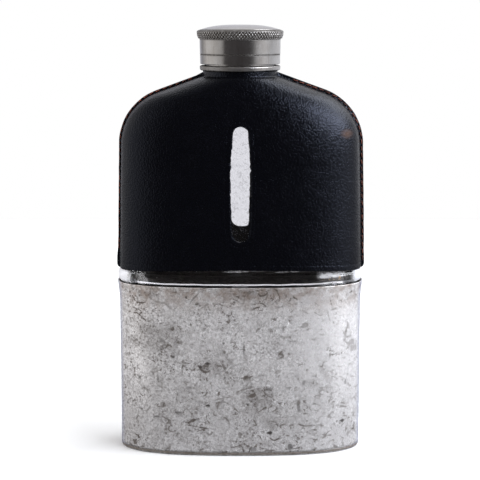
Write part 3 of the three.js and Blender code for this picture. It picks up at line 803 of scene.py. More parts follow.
def make_cup_base():
    edge, top = 0.8, BASE_HIGH.z
    path = [(inset, 0.0) for inset in (12, 8, 5, 3, 2, 1.4, 1.1)]
    for k in range(9):
        a = math.pi / 2 * k / 8
        path.append((edge * (1 - math.sin(a)), edge * (1 - math.cos(a))))
    path += [(0.0, top - 0.12), (0.05, top - 0.03), (0.14, top), (CUP_WALL - 0.1, top), (CUP_WALL, top - 0.1)]
    for k in range(5):
        a = math.pi / 2 * k / 4
        path.append((CUP_WALL + 0.5 * (1 - math.cos(a)), 1.1 - 0.5 * math.sin(a)))
    path.append((8, 0.6))
    turns = even_turns(CUP_POINTS)
    rows = [oval_row(CUP_HALF_WIDTH - inset, CUP_HALF_DEPTH - inset, z, turns) for inset, z in path]
    piece = make_piece("cup_base_pan", *closed_skin(rows), "cup", "cup_base", "worn_silver_plate")
    mark(piece, "inside", lambda x, y, z: 1.0 if z > 0.55 and abs(x) < CUP_HALF_WIDTH - CUP_WALL else 0.0)


# ---- Glass ----


def glass_row(z, inset, turns):
    from_cup = CUP_WALL + GLASS_CLEARANCE + inset
    return oval_row(CUP_HALF_WIDTH - from_cup, CUP_HALF_DEPTH - from_cup, z, turns)


def heel_rows(bottom, inset, turns):
    rows = []
    for k in range(11):
        a = math.pi / 2 * k / 10
        rows.append(glass_row(bottom + GLASS_HEEL * (1 - math.cos(a)), inset + GLASS_HEEL * (1 - math.sin(a)), turns))
    return rows


def body_levels(out, bottom):
    levels = [bottom + (SHOULDER_Z - bottom) * k / 40 for k in range(40)]
    radius = SHOULDER_RADIUS + out
    levels += [SHOULDER_Z + radius * math.sin((math.pi / 2 - SLOPE) * k / 24) for k in range(25)]
    start, end = shoulder_end(out)[1], neck_height(out)
    return levels + [start + (end - start) * (1 - (1 - k / 14) ** 1.6) for k in range(1, 15)]


def uneven_band(row):
    """The band was pressed and ground by hand, so its height and bulge wander a little."""
    moved = []
    for x, y, z in row:
        grow = 1 + 0.0022 * ripple(x, y, 0, 8, 2.0) - 0.001
        moved.append((x * grow, y * grow, z + 0.16 * ripple(x, y, 0, 6, 7.0) + 0.06 * ripple(x, y, z, 2.2, 3.0)))
    return moved


def make_glass():
    turns = even_turns(200)

    def body_rows(out):
        rows = []
        for z in body_levels(out, BAND_TOP + 0.4):
            a, b, power = body_oval(z, out)
            rows.append(oval_row(a, b, z, turns, power))
        return rows

    def round_rows(points):
        return [oval_row(r, r, z, turns, 2.0) for r, z in points]

    bottom, top = GLASS_LOW.z, GLASS_HIGH.z
    middle, half = (BAND_BOTTOM + BAND_TOP) / 2, (BAND_TOP - BAND_BOTTOM) / 2
    outer = heel_rows(bottom, 0, turns)
    outer += [glass_row(z, 0, turns) for z in (12, 24, 36, 48, 56, 60, 61.6, 62.0)]
    for k in range(21):
        a = math.pi * (k / 20 - 0.5)
        row = glass_row(middle + half * math.sin(a), -BAND_PROUD * max(math.cos(a), 0.0) ** 0.8, turns)
        outer.append(uneven_band(row) if 0 < k < 20 else row)
    outer += body_rows(-GLASS_UNDER_LEATHER)
    outer += round_rows([(11.7, 134.97), (11.2, 135.15), (10.85, 135.32), (10.6, 135.5), (10.4, 135.75)])
    upright = finer([(NECK_RADIUS, 136.4), (NECK_RADIUS, top - LIP_RADIUS - 0.05)], 1.5)
    outer += round_rows([(NECK_RADIUS, 136.1)] + upright)
    outer += round_rows(arc(NECK_RADIUS - LIP_RADIUS, top - LIP_RADIUS, LIP_RADIUS, 0, 90, 6))
    inner = heel_rows(bottom + GLASS_FLOOR, GLASS_WALL, turns)
    inner += [glass_row(z, GLASS_WALL, turns) for z in (16, 28, 40, 52, 60)]
    inner += body_rows(-GLASS_UNDER_LEATHER - GLASS_WALL)
    inner += round_rows([(9.0, 132.95), (8.3, 133.3), (7.85, 133.75), (7.6, 134.15), (BORE_RADIUS, 134.7)])
    inner += round_rows(finer([(BORE_RADIUS, 135), (BORE_RADIUS, top - LIP_RADIUS - 0.05)], 1.5))
    inner += round_rows(arc(BORE_RADIUS + LIP_RADIUS, top - LIP_RADIUS, LIP_RADIUS, 180, 90, 6))
    make_piece("glass_bottle_body", *closed_skin(outer + inner[::-1]), "bottle", "glass_bottle", "clear_glass")


# ---- Leather jacket ----

# Slips of the knife along the front slot: side, height, depth into the slot and half-length.
NICKS = [
    (1, 86.6, 0.4, 6.0),
    (1, 92.6, 0.35, 0.5),
    (1, 89.6, 0.3, 0.4),
    (1, 115.0, 0.2, 0.5),
    (1, 100.9, 0.16, 0.6),
    (1, 111.5, 0.1, 1.2),
    (-1, 105.6, -0.45, 0.5),
    (-1, 97.0, 0.1, 1.4),
]

SLOT_LOW, SLOT_HIGH = SLOT_BOTTOM + SLOT_BOTTOM_RADIUS, SLOT_TOP - SLOT_TOP_RADIUS


def slot_side(t):
    """The slot's half-width between its round ends, t from 0 at the lower to 1 at the upper."""
    return SLOT_BOTTOM_RADIUS + (SLOT_TOP_RADIUS - SLOT_BOTTOM_RADIUS) * t + SLOT_BULGE * 4 * t * (1 - t)


def slot_half_width(z, side, seed, squared=False):
    """Half the sight slot's width at a height, with the unevenness of a hand-cut edge."""
    if z <= SLOT_BOTTOM or z >= SLOT_TOP:
        return 0.0
    if z < SLOT_LOW:
        power = 5 if squared else 2
        width = SLOT_BOTTOM_RADIUS * (1 - ((SLOT_LOW - z) / SLOT_BOTTOM_RADIUS) ** power) ** (1 / power)
    elif z > SLOT_HIGH:
        width = math.sqrt(SLOT_TOP_RADIUS**2 - (z - SLOT_HIGH) ** 2)
    else:
        width = slot_side((z - SLOT_LOW) / (SLOT_HIGH - SLOT_LOW))
    ease = min(1.0, (z - SLOT_BOTTOM) / 3, (SLOT_TOP - z) / 3)
    uneven = 0.2 * ripple(0, 0, z, 5.5, seed) + 0.34 * ripple(0, 0, z, 1.7, seed + 5) + 0.2 * ripple(0, 0, z, 0.9, seed)
    for nick_side, middle, depth, reach in NICKS:
        if nick_side == side:
            uneven -= depth * math.exp(-(((z - middle) / reach) ** 4))
    return width + ease * uneven


def slot_distance(x, z):
    """Distance from the slot's edge, positive outside it, for the slot as a tapered obround."""
    t = part_way(z, SLOT_LOW, SLOT_HIGH)
    return math.hypot(x, z - (SLOT_LOW + (SLOT_HIGH - SLOT_LOW) * t)) - slot_side(t)


def groove(distance, centre, width, depth):
    return -depth * math.exp(-(((distance - centre) / width) ** 2))


def rounded_off(distance, radius):
    """How far a face drops as it comes within radius of a rounded edge."""
    if distance >= radius:
        return 0.0
    return math.sqrt(radius**2 - (radius - max(distance, 0.0)) ** 2) - radius


def lower_edge(x):
    return EDGE_FRONT_Z - (EDGE_FRONT_Z - EDGE_SIDE_Z) * min(abs(x) / BODY_HALF_WIDTH, 1.1) ** 2


def leather_levels():
    """Heights of the rows, close together at the lower edge, the slot's ends and the neck."""
    levels = {EDGE_FRONT_Z + s for s in EDGE_STEPS}
    for s in SLOT_STEPS_IN:
        levels |= {SLOT_BOTTOM + s, SLOT_TOP - s}
    for s in SLOT_STEPS_OUT:
        levels |= {SLOT_BOTTOM - s, SLOT_TOP + s}
    z = EDGE_FRONT_Z + 3.6
    while z < 137.2:
        levels.add(z)
        z += 0.55 if z < 128 else 0.22
    levels.add(LEATHER_HIGH.z)
    kept = []
    for z in sorted(levels):
        end = min(abs(z - e) for e in (SLOT_BOTTOM, SLOT_TOP, EDGE_FRONT_Z, LEATHER_HIGH.z))
        if kept and z - kept[-1] < 0.12 and end > 3.3:
            continue
        kept.append(z)
    return [z for z in kept if z <= LEATHER_HIGH.z + 1e-6]


def leather_section(level, side, facing, seed):
    """One row of a panel's half: outer points from the slot's edge round the fin, and inner points back."""
    a, b, power = body_oval(level, 0.0)
    ai, bi, power_i = body_oval(level, -LEATHER_THICKNESS)
    tip = max(body_half_width(level, FIN_PROUD), LEATHER_NECK)
    above = min((level - EDGE_FRONT_Z) / FIN_CORNER, 1.0)
    stretch = max(tip - a, 0.0) / FIN_PROUD * (0.25 + 0.75 * math.sqrt(1 - (1 - above) ** 2))
    if side < 0:
        stretch *= 1 - LEFT_FIN_TRIM * part_way(level, LEFT_FIN_FOOT, LEFT_FIN_FOOT + 3.0)
    is_front = facing < 0
    cut = slot_half_width(level, side if is_front else 0, seed + side, squared=not is_front and side > 0)
    if cut > 0 and is_front:
        cut = max(cut + side * SLOT_SHIFT * min(1.0, (level - SLOT_BOTTOM) / 1.5, (SLOT_TOP - level) / 1.5), 0.0)
    face = SEAM_GAP + FIN_THICKNESS
    turns = [math.acos(min(1.0, ((cut + d) / a) ** (power / 2))) for d in NEAR if cut + d < 0.93 * a]
    root_y = face + FILLET
    last = math.asin((root_y / b) ** (power / 2))
    first = turns[-1]
    rest = FACE_POINTS - len(turns)
    turns += [last + (first - last) * (1 - k / rest) ** 1.3 for k in range(1, rest + 1)]
    outer = [oval_xy(a, b, power, t) for t in turns]
    root_x = outer[-1][0]
    for k in range(1, FILLET_POINTS + 1):
        angle = math.pi / 2 * k / FILLET_POINTS
        outer.append((root_x + stretch * FILLET * (1 - math.cos(angle)), root_y - FILLET * math.sin(angle)))
    flat_end = FIN_PROUD - FIN_ROUND
    for k in range(1, 6):
        outer.append((root_x + stretch * (FILLET + (flat_end - FILLET) * k / 5), face))
    for k in range(1, 6):
        angle = math.pi / 2 * k / 5
        ahead, drop = FIN_ROUND * math.sin(angle), FIN_ROUND * (1 - math.cos(angle))
        outer.append((root_x + stretch * (flat_end + ahead), face - drop))
    outer.append((root_x + stretch * FIN_PROUD, SEAM_GAP + 0.35))
    outer.append((root_x + stretch * FIN_PROUD, SEAM_GAP + 0.08))
    outer.append((root_x + stretch * (FIN_PROUD - 0.08), SEAM_GAP))
    inner = []
    for t in turns[::-1]:
        share = (t - last) / (math.pi / 2 - last)
        x, y = oval_xy(ai, bi, power_i, max(share * math.pi / 2 if cut == 0 else t, 0.0))
        inner.append((x, max(y, SEAM_GAP)))
    if cut > 0:
        edge_x = outer[0][0]
        inner[-1] = (edge_x, bi * (1 - (edge_x / ai) ** power_i) ** (1 / power_i))
    return outer, inner


def leather_offset(x, y, z, level, on_fin, seed):
    """Raised and sunk detail of the outer face, in millimetres along its normal."""
    if on_fin:
        return 0.05 * ripple(x, 3 * seed, z, 3.0, seed)
    push = 0.07 * ripple(x, y, z, 9.0, seed) + 0.03 * ripple(x, y, z, 3.2, seed + 3)
    gap = slot_distance(x - (SLOT_SHIFT if y < 0 else 0.0), z)
    push += groove(gap, *SLOT_CREASE) + rounded_off(gap, SLOT_ROUND)
    above = level - EDGE_FRONT_Z
    push += groove(above, *EDGE_CREASE) + rounded_off(above, CUT_ROUND)
    puckers = math.cos(2 * math.pi * z / STITCH_PITCH)
    near_seam = math.exp(-(((abs(x) - body_half_width(min(z, 135), 0.0)) / 2.0) ** 2))
    return push + PUCKER * puckers * near_seam


def left_draw(x, side):
    """How far the left side was drawn in at a distance from the middle."""
    return LEFT_DRAW * (x / BODY_HALF_WIDTH) ** 2 if side < 0 else 0.0


def leather_row(level, side, facing, seed):
    """One row's points in place, and how many of them lie on the outer face."""
    outer, inner = leather_section(level, side, facing, seed)
    a, b, power = body_oval(level, 0.0)
    fade = max(0.0, 1 - (level - EDGE_FRONT_Z) / EDGE_FADE)
    points = []
    for k, (x, y) in enumerate(outer + inner):
        z = level + (lower_edge(x) - EDGE_FRONT_Z) * fade
        if facing > 0:
            z += BACK_SLOT_LIFT * math.exp(-(((level - SLOT_BOTTOM) / 4) ** 2) - (x / 8) ** 2)
        is_outer = k < len(outer)
        on_fin = is_outer and k >= FACE_POINTS + FILLET_POINTS
        if is_outer and not (on_fin and k >= len(outer) - 3):
            nx = (x / a) ** (power - 1) / a if not on_fin else 0.0
            ny = (y / b) ** (power - 1) / b
            size = math.hypot(nx, ny) or 1.0
            push = leather_offset(side * x, facing * y, z, level, on_fin, seed)
            x += push * nx / size
            y += push * ny / size
        if is_outer:
            x -= left_draw(x, side)
        if on_fin:
            wave = 0.1 * ripple(side * 3, facing, z, 4.0, seed + 9)
            x += wave * (k - FACE_POINTS - FILLET_POINTS + 1) / 10
        points.append((side * x, facing * y, z))
    return points, len(outer)


def bridge(outer, inner, is_bottom):
    """Faces between two open runs of points of different length, matched by their share of the run."""
    faces = []
    i = j = 0
    while i < len(outer) - 1 or j < len(inner) - 1:
        ahead_outer = (i + 1) / (len(outer) - 1) if i < len(outer) - 1 else 2.0
        ahead_inner = (j + 1) / (len(inner) - 1) if j < len(inner) - 1 else 2.0
        if ahead_outer <= ahead_inner:
            face = (outer[i], inner[j], outer[i + 1])
            i += 1
        else:
            face = (outer[i], inner[j], inner[j + 1])
            j += 1
        faces.append(face if is_bottom else face[::-1])
    return faces


def make_leather(facing, name, node):
    """facing is -1 for the front panel and 1 for the back one."""
    seed = SEED + (0 if facing < 0 else 11)
    levels = leather_levels()
    verts, faces = [], []
    for side in (-1, 1):
        grid = []
        for level in levels:
            points, split = leather_row(level, side, facing, seed)
            grid.append(list(range(len(verts), len(verts) + len(points))))
            verts += points
        made = []
        for row, above in zip(grid, grid[1:]):
            made += [(row[i], row[i + 1], above[i + 1], above[i]) for i in range(len(row) - 1)]
        for i, (row, above) in enumerate(zip(grid, grid[1:])):
            if levels[i] >= SLOT_BOTTOM - 1e-6 and levels[i + 1] <= SLOT_TOP + 1e-6:
                made.append((row[-1], row[0], above[0], above[-1]))
        for row, is_bottom in ((grid[0], True), (grid[-1], False)):
            made += bridge(row[:split], row[split:][::-1], is_bottom)
        faces += [face[::-1] for face in made] if side * facing < 0 else made
    piece = make_piece(name, verts, faces, "bottle", node, "black_leather")
    mark(piece, "cut_edge", lambda x, y, z: 1.0 if z - lower_edge(x) < 0.03 else 0.0)
    weld(piece)


# ---- Stitches ----


def make_stitches(side, name, node):
    """Saddle stitches on both faces of a seam, each dipping into its two holes."""
    start, inset = (SEWN_FROM, SEAM_INSET) if side > 0 else (LEFT_SEWN_FROM, LEFT_SEAM_INSET)
    verts, faces = [], []
    rng = random.Random(SEED + side)
    total = SHOULDER_Z - FIN_BOTTOM + (SHOULDER_RADIUS + SEAM_INSET) * (math.pi / 2 - SLOPE) + SEWN_ON_SLOPE
    count = int((total - start) / STITCH_PITCH)
    for facing in (-1, 1):
        for k in range(count):
            middle = start + STITCH_PITCH * (k + 0.5) + rng.uniform(-0.12, 0.12)
            half = STITCH_LENGTH / 2 * rng.uniform(0.86, 1.06)
            tilt = 0.09 * side * facing + rng.uniform(-0.05, 0.05)
            thick = 0.2 * rng.uniform(0.9, 1.08)
            rows = []
            for i in range(STITCH_STEPS + 1):
                u = 2 * i / STITCH_STEPS - 1
                x, z, (tx, tz) = seam_point(middle + half * u, inset + tilt * u)
                x -= left_draw(x, side)
                out_y = SEAM_GAP + FIN_THICKNESS + 0.13 * (1 - abs(u) ** 3.0) - 0.32 * abs(u) ** 6
                girth = thick * (1 - 0.25 * abs(u) ** 4)
                row = []
                for m in range(STITCH_SIDES):
                    a = 2 * math.pi * m / STITCH_SIDES
                    across, up = girth * math.cos(a), girth * 0.85 * math.sin(a)
                    row.append((side * (x + tz * across), facing * (out_y + up), z - tx * across))
                rows.append(row)
            base = len(verts)
            tube, quads = skin(rows)
            verts += tube
            faces += [tuple(base + i for i in quad) for quad in quads]
            faces.append(tuple(range(base, base + STITCH_SIDES))[::-1])
            faces.append(tuple(range(len(verts) - STITCH_SIDES, len(verts))))
    weld(make_piece(name, verts, faces, "bottle", node, "seam_thread"))


# ---- Screw threads ----


def screw_height(turn, z, start):
    """Height of the screw's ridge over its wall at an angle and height, 0 between the ridges."""
    best = 0.0
    crest, base = 0.16, 0.6
    for k in range(-1, 4):
        turns = turn % (2 * math.pi) / (2 * math.pi) + k
        if 0 <= turns <= SCREW_TURNS:
            fade = min(1.0, turns / SCREW_RUN_OUT, (SCREW_TURNS - turns) / SCREW_RUN_OUT)
            slope = part_way(abs(z - start - SCREW_LEAD * turns), base, crest)
            best = max(best, SCREW_HEIGHT * fade * slope * slope * (3 - 2 * slope))
    return best


def make_neck_collar():
    radius, bore = COLLAR_RADIUS, COLLAR_BORE
    low, high = COLLAR_LOW.z, COLLAR_HIGH.z
    profile = [(bore, low + 0.1), (bore + 0.1, low), (radius - 0.1, low), (radius, low + 0.1)]
    profile += finer([(radius, 139.4), (radius, high - 0.4)], 0.09)
    profile += arc(radius - 0.25, high - 0.25, 0.25, 0, 90, 5)
    profile += [(bore + 0.1, high), (bore, high - 0.1)]

    def shape(r, turn, z):
        return r + (screw_height(turn, z, SCREW_START) if r >= radius - 1e-6 else 0.0)

    piece = make_ring("neck_collar_body", profile, 180, shape, "bottle", "neck_collar", "polished_plate")
    mark(piece, "dirt_and_shade", lambda x, y, z: 0.0)


def make_cap_sleeve():
    outer, bore = SLEEVE_RADIUS, SLEEVE_BORE
    low, high = SLEEVE_LOW.z, SLEEVE_HIGH.z
    profile = [(bore + 0.1, low), (outer - 0.1, low), (outer, low + 0.1), (outer, high - 0.1), (outer - 0.1, high)]
    profile += [(bore + 0.1, high)] + finer([(bore, high - 0.1), (bore, low + 0.1)], 0.09)

    def shape(r, turn, z):
        return r - (screw_height(turn, z, SCREW_START + SCREW_LEAD / 2) if r <= bore + 1e-6 else 0.0)

    piece = make_ring("cap_thread_sleeve_body", profile, 180, shape, "cap", "cap_thread_sleeve", "polished_plate")
    mark(piece, "dirt_and_shade", lambda x, y, z: 0.5 if abs(math.hypot(x, y) - bore) < 0.05 else 0.0)


# ---- Collar flange, cement, wad and cap ----


def make_collar_flange():
    bore = COLLAR_RADIUS + 0.02
    low, high, radius = FLANGE_LOW.z, FLANGE_HIGH.z, FLANGE_HIGH.x
    roll = 0.5
    profile = [(bore, low + 0.05), (bore + 0.05, low), (radius - 1.1, low), (radius - 0.9, low + 0.03)]
    profile += arc(radius - roll - 0.06, low + 0.1 + roll, roll, -75, -8, 10)
    profile += arc(radius - roll, high - 0.04 - roll, roll, -4, 90, 12)
    profile += [(radius - roll - 0.5, high - 0.02), (radius - roll - 0.7, high)]
    profile += [(bore + 0.05, high), (bore, high - 0.05)]

    def shape(r, turn, z):
        return r + 0.02 * ripple(3 * math.cos(turn), 3 * math.sin(turn), z, 1.0, 2.0)

    def soil_and_left_shade(x, y, z):
        # Painted shade: the left side and middle of the flange are darkened; the rise towards the top is soil in the
        # joint under the skirt.
        painted_left_shade = 0.42 * part_way(x, 6.0, 2.0)
        return min(0.9, 0.14 + painted_left_shade + 2.2 * max(0.0, z - high + 0.45))

    piece = make_ring("collar_flange_ring", profile, 192, shape, "bottle", "collar_flange", "polished_plate")
    mark(piece, "dirt_and_shade", soil_and_left_shade)


def make_collar_cement():
    inner, outer = NECK_RADIUS + 0.08, CEMENT_HIGH.x
    low, high = CEMENT_LOW.z, CEMENT_HIGH.z
    profile = finer([(inner, low), (outer, low), (outer, high), (inner, high), (inner, low)], 0.35)[:-1]

    def shape(r, turn, z):
        rough = 0.06 * ripple(r * math.cos(turn), r * math.sin(turn), z, 0.9, 6.0) - 0.03
        return r + (rough if r > inner + 0.2 else -rough * 0.3)

    make_ring("collar_cement_ring", profile, 144, shape, "bottle", "collar_cement", "plaster")


def make_cork_wad():
    radius, low, high = WAD_HIGH.x, WAD_LOW.z, WAD_HIGH.z
    path = [(radius * k / 16, low) for k in range(1, 16)] + arc(radius - 0.2, low + 0.2, 0.2, -90, 0, 4)
    path += [(radius, (low + high) / 2)] + arc(radius - 0.2, high - 0.2, 0.2, 0, 90, 4)
    path += [(radius * k / 16, high) for k in range(15, 0, -1)]
    rows = []
    for (r, z), points in zip(path, turned(path, 120)):
        press = 0.05 if z == low and BORE_RADIUS < r < NECK_RADIUS else 0.0
        row = []
        for x, y, z in points:
            dip = 0.16 * max(0.0, ripple(x, y, z, 0.9, 8.0) - 0.25) if z in (low, high) else 0.0
            row.append((x, y, z + (dip + press if z == low else -dip)))
        rows.append(row)
    make_piece("cork_wad_disc", *closed_skin(rows), "cap_wad", "cork_wad", "cork")


def make_cap_skirt():
    bore, line = CAP_BORE, CAP_LINE
    low, high, radius = SKIRT_LOW.z, SKIRT_HIGH.z, SKIRT_HIGH.x
    profile = [(bore, low + 0.1), (bore + 0.08, low), (radius - 0.4, low)]
    profile += [(radius - 0.27, low + 0.06), (radius - 0.2, low + 0.2), (radius - 0.19, low + 0.4)]
    profile += [(radius - 0.16, line - 0.14), (radius - 0.19, line - 0.11), (radius - 0.36, line - 0.1)]
    profile += [(radius - 0.36, line + 0.1), (radius - 0.15, line + 0.11), (radius - 0.13, line + 0.13)]
    profile += [(radius - 0.06, line + 2.5), (radius - 0.02, high - 0.1), (radius - 0.12, high), (bore, high)]
    profile = held(finer(profile, 0.5))

    def shape(r, turn, z):
        return r + (0.015 * ripple(4 * math.cos(turn), 4 * math.sin(turn), z, 1.6, 5.0) if r > bore + 0.1 else 0.0)

    def dirt_and_shade(x, y, z):
        return max(math.exp(-(((z - line) / 0.17) ** 6)), math.exp(-(((z - high) / 0.35) ** 2)))

    piece = make_ring("cap_skirt_wall", profile, 192, shape, "cap", "cap_skirt", "polished_plate")
    mark(piece, "dirt_and_shade", dirt_and_shade)


def make_knurled_rim():
    bore = CAP_BORE
    low, high, radius = RIM_LOW.z - 0.25, RIM_HIGH.z, RIM_HIGH.x
    knurl_low, knurl_high = low + 0.12, high - 0.8
    profile = [(bore, low), (radius - 0.95, low), (radius - 0.82, low + 0.1)]
    for k in range(1, 33):
        z = knurl_low + (knurl_high - knurl_low) * k / 32
        t = (z - low) / (high - low)
        profile.append((radius - 0.62 + 0.6 * math.sin(min(1.0, t / 0.6) * math.pi / 2), z))
    profile += arc(radius - 0.55, high - 0.95, 0.55, 4, 56, 8)
    profile += [(radius - 0.5, high - 0.4), (radius - 0.95, high - 0.21), (radius - 1.4, high - 0.07)]
    profile += [(bore + 0.04, high - 0.06), (bore, high - 0.12)]
    count = round(2 * math.pi * radius / KNURL_PITCH)

    def groove_nearness(turn, z):
        """0 in the middle of a raised diamond and 1 in the grooves round it."""
        u = turn * count / (2 * math.pi)
        v = (z - knurl_low) / KNURL_HEIGHT
        return 2 * max(abs((u + v) % 1 - 0.5), abs((u - v) % 1 - 0.5))

    def shape(r, turn, z):
        if not knurl_low < z < knurl_high or r < radius - 0.85:
            return r
        edge = min(1.0, (z - knurl_low) / 0.2, (knurl_high - z) / 0.2)
        return r - KNURL_DEPTH * max(0.0, groove_nearness(turn, z) - 0.42) * 1.7 * edge

    def dirt_and_shade(x, y, z):
        if z > knurl_high:
            return 0.92 if math.hypot(x, y) < radius - 0.3 else 0.85 * min(1.0, (z - knurl_high) / 0.1)
        if z < knurl_low or math.hypot(x, y) < bore + 0.1:
            return 0.4
        turn = math.atan2(y, x) % (2 * math.pi)
        return min(1.0, max(0.0, 5.0 * (groove_nearness(turn, z) - 0.48)))

    piece = make_ring("cap_knurled_bead", profile, count * 12, shape, "cap", "cap_knurled_rim", "polished_plate")
    mark(piece, "dirt_and_shade", dirt_and_shade)
    mark(piece, "dull", lambda x, y, z: 0.27 if z < knurl_high else 0.0)


def make_cap_top():
    radius, low, high = TOP_HIGH.x, TOP_LOW.z, TOP_HIGH.z
    sheet, lip = 0.8, 1.3

    def dome(r, edge_radius, edge_z, apex):
        return apex - (apex - edge_z) * (r / edge_radius) ** DOME_POWER

    inner = radius - lip
    path = [(inner * k / 12, dome(inner * k / 12, inner, DOME_EDGE - 0.6, high - sheet)) for k in range(1, 13)]
    path += [(inner, low + 0.1), (inner + 0.1, low), (radius - 0.1, low), (radius, low + 0.1)]
    path += [(radius, DOME_EDGE - 0.12), (radius - 0.04, DOME_EDGE - 0.03)]
    path += [(radius * k / 40, dome(radius * k / 40, radius, DOME_EDGE, high)) for k in range(39, 0, -1)]
    piece = make_piece("cap_top_plate", *closed_skin(turned(path, 192)), "cap", "cap_top", "polished_plate")
    mark(piece, "dirt_and_shade", lambda x, y, z: 0.0)


# ---- Studio ----


def place(name, data):
    made = bpy.data.objects.new(name, data)
    bpy.context.scene.collection.objects.link(made)
    return made


# The viewpoint: half a metre in front of the flask, looking down a little. Metres, degrees and lens millimetres.
CAMERA_PLACE = (-0.00004, -0.4977, 0.1584)
CAMERA_TILT = 80.59
CAMERA_LENS = 103.8


def make_camera():
    camera = bpy.data.cameras.new("camera")
    camera.sensor_width = 36.0
    camera.lens = CAMERA_LENS
    camera.clip_start = 0.01
    camera.clip_end = 20.0
    seat = place("camera", camera)
    seat.location = CAMERA_PLACE
    seat.rotation_euler = (math.radians(CAMERA_TILT), 0, 0)
    bpy.context.scene.camera = seat


FLOOR_COLOUR = (0.93, 0.93, 0.935)
FLOOR_LIFT = 0.07
FLOOR_BOUNCE = (0.2, 0.2, 0.205)


def make_floor():
    """A white table top that ends a little in front of the flask, so the front faces look into a dark room."""
    mesh = bpy.data.meshes.new("floor")
    reach, front, back = 0.5, -0.055, 0.55
    corners = [(-reach, front, 0), (reach, front, 0), (reach, back, 0), (-reach, back, 0)]
    mesh.from_pydata(corners, [], [(0, 1, 2, 3)])
    material = bpy.data.materials.new("white_floor")
    material.use_nodes = True
    graph = Graph(material.node_tree)
    path = graph.add("LightPath").outputs
    lit = graph.out("BsdfDiffuse", {"Color": FLOOR_COLOUR})
    seen = graph.out("AddShader", [lit, graph.out("Emission", {"Strength": FLOOR_LIFT})])
    bounced = graph.out("BsdfDiffuse", {"Color": FLOOR_BOUNCE})
    unseen = graph.out("MixShader", [path["Is Transmission Ray"], bounced, graph.out("Emission")])
    graph.add("OutputMaterial", {"Surface": graph.out("MixShader", [path["Is Camera Ray"], unseen, seen])})
    mesh.materials.append(material)
    place("floor", mesh)


def toward(azimuth, elevation):
    """The direction of a point of the sky: azimuth from the front, positive to the right, both in degrees."""
    a, e = math.radians(azimuth), math.radians(elevation)
    return Vector((math.sin(a) * math.cos(e), -math.cos(a) * math.cos(e), math.sin(e)))


def make_sun(name, azimuth, elevation, width, strength, colour, in_reflections=True):
    """Soft, even light from one part of the sky."""
    lamp = bpy.data.lights.new(name, "SUN")
    lamp.angle = math.radians(width)
    lamp.energy = strength
    lamp.color = colour
    seat = place(name, lamp)
    seat.rotation_euler = toward(azimuth, elevation).to_track_quat("Z", "Y").to_euler()
    seat.visible_glossy = in_reflections


# Brightness of the room by azimuth in degrees from the front, positive to the right.
LEVEL_STOPS = [
    (-180, (0.7, 0.7, 0.75)),
    (-150, (0.42, 0.42, 0.46)),
    (-136, (0.32, 0.315, 0.32)),
    (-110, (0.72, 0.7, 0.68)),
    (-84, (0.7, 0.69, 0.67)),
    (-58, (0.47, 0.46, 0.45)),
    (-50, (0.32, 0.31, 0.3)),
    (-45, (0.08, 0.076, 0.076)),
    (0, (0.06, 0.056, 0.057)),
    (28, (0.075, 0.072, 0.074)),
    (36, (0.13, 0.13, 0.13)),
    (54, (0.57, 0.57, 0.575)),
    (75, (0.79, 0.79, 0.8)),
    (100, (0.6, 0.61, 0.63)),
    (135, (0.78, 0.79, 0.82)),
    (180, (0.7, 0.7, 0.74)),
]
HIGH_STOPS = [
    (-180, (0.9, 0.9, 0.91)),
    (-130, (0.4, 0.4, 0.4)),
    (-100, (0.3, 0.3, 0.3)),
    (-60, (0.12, 0.115, 0.11)),
    (-40, (0.08, 0.075, 0.07)),
    (20, (0.1, 0.09, 0.085)),
    (50, (0.5, 0.5, 0.5)),
    (110, (1.0, 1.02, 1.06)),
    (180, (0.9, 0.9, 0.91)),
]
OVERHEAD = (0.22, 0.215, 0.21)

# A bright window: its colour, and where it rises to full and falls again in azimuth and in height.
WINDOW = (9.0, 9.3, 9.9)
WINDOW_SIDES = (33, 41, 80, 94)
WINDOW_RISE = (0.19, 0.28, 0.47, 0.6)


def halved(colour):
    """A ramp holds at most 1, so the sky's colours carry half the brightness and the room doubles it."""
    return tuple(c / 2 for c in colour)


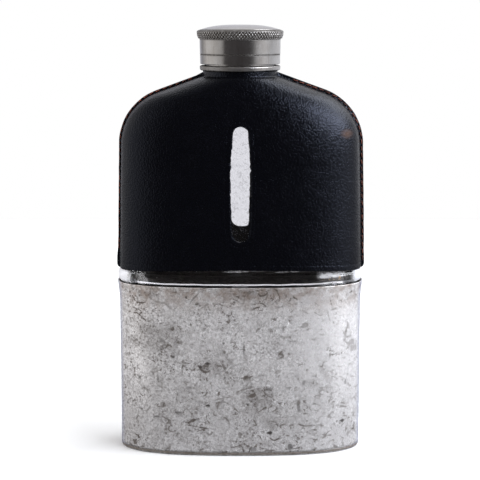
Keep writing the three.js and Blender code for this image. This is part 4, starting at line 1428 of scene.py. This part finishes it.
def make_world():
    """A pale studio all round with a darker room in front, and plain white behind whatever the camera sees."""
    world = bpy.data.worlds.new("studio")
    bpy.context.scene.world = world
    world.use_nodes = True
    graph = Graph(world.node_tree)
    x, y, z = graph.add("SeparateXYZ", [graph.add("TexCoord").outputs["Generated"]]).outputs
    around = graph.math("ARCTAN2", x, graph.math("MULTIPLY", y, -1.0))
    share = graph.ramp(around, -math.pi, math.pi, smooth=False)

    def ring(stops):
        """A colour that changes with azimuth."""
        ramp = graph.add("ValToRGB", [share])
        elements = ramp.color_ramp.elements
        while len(elements) < len(stops):
            elements.new(0.5)
        for element, (azimuth, colour) in zip(elements, stops):
            element.position = (azimuth + 180) / 360
            element.color = (*halved(colour), 1)
        return ramp.outputs["Color"]

    sky = graph.mix(graph.ramp(z, 0.3, 0.7), ring(LEVEL_STOPS), ring(HIGH_STOPS))
    sky = graph.mix(graph.ramp(z, 0.75, 0.98), sky, halved(OVERHEAD))
    pane = graph.times(graph.within(around, *map(math.radians, WINDOW_SIDES)), graph.within(z, *WINDOW_RISE))
    sky = graph.mix(pane, sky, halved(WINDOW))
    room = graph.out("Background", {"Color": sky, "Strength": 2.0})
    plain = graph.out("Background", {"Color": (1.0, 1.0, 1.0)})
    path = graph.add("LightPath").outputs
    backward = graph.times(path["Is Transmission Ray"], graph.math("GREATER_THAN", y, 0.0))
    direct = graph.most(path["Is Camera Ray"], backward)
    graph.add("OutputWorld", {"Surface": graph.out("MixShader", [direct, room, plain])})


bpy.context.scene.view_settings.view_transform = "Standard"
make_camera()
make_world()
make_floor()
make_sun("key", 107, 46, 48, 1.7, (0.96, 0.98, 1.0))
make_sun("fill", -80, 8, 60, 3.4, (1.0, 0.99, 0.98), in_reflections=False)
make_sun("front", 56, 30, 70, 0.95, (1.0, 1.0, 1.0), in_reflections=False)

make_cup_wall()
make_cup_base()
make_glass()
make_leather(-1, "leather_front", "leather_front_panel")
make_leather(1, "leather_back", "leather_back_panel")
make_stitches(-1, "stitches_left", "seam_thread_left")
make_stitches(1, "stitches_right", "seam_thread_right")
make_neck_collar()
make_collar_flange()
make_collar_cement()
make_cork_wad()
make_cap_sleeve()
make_cap_skirt()
make_knurled_rim()
make_cap_top()
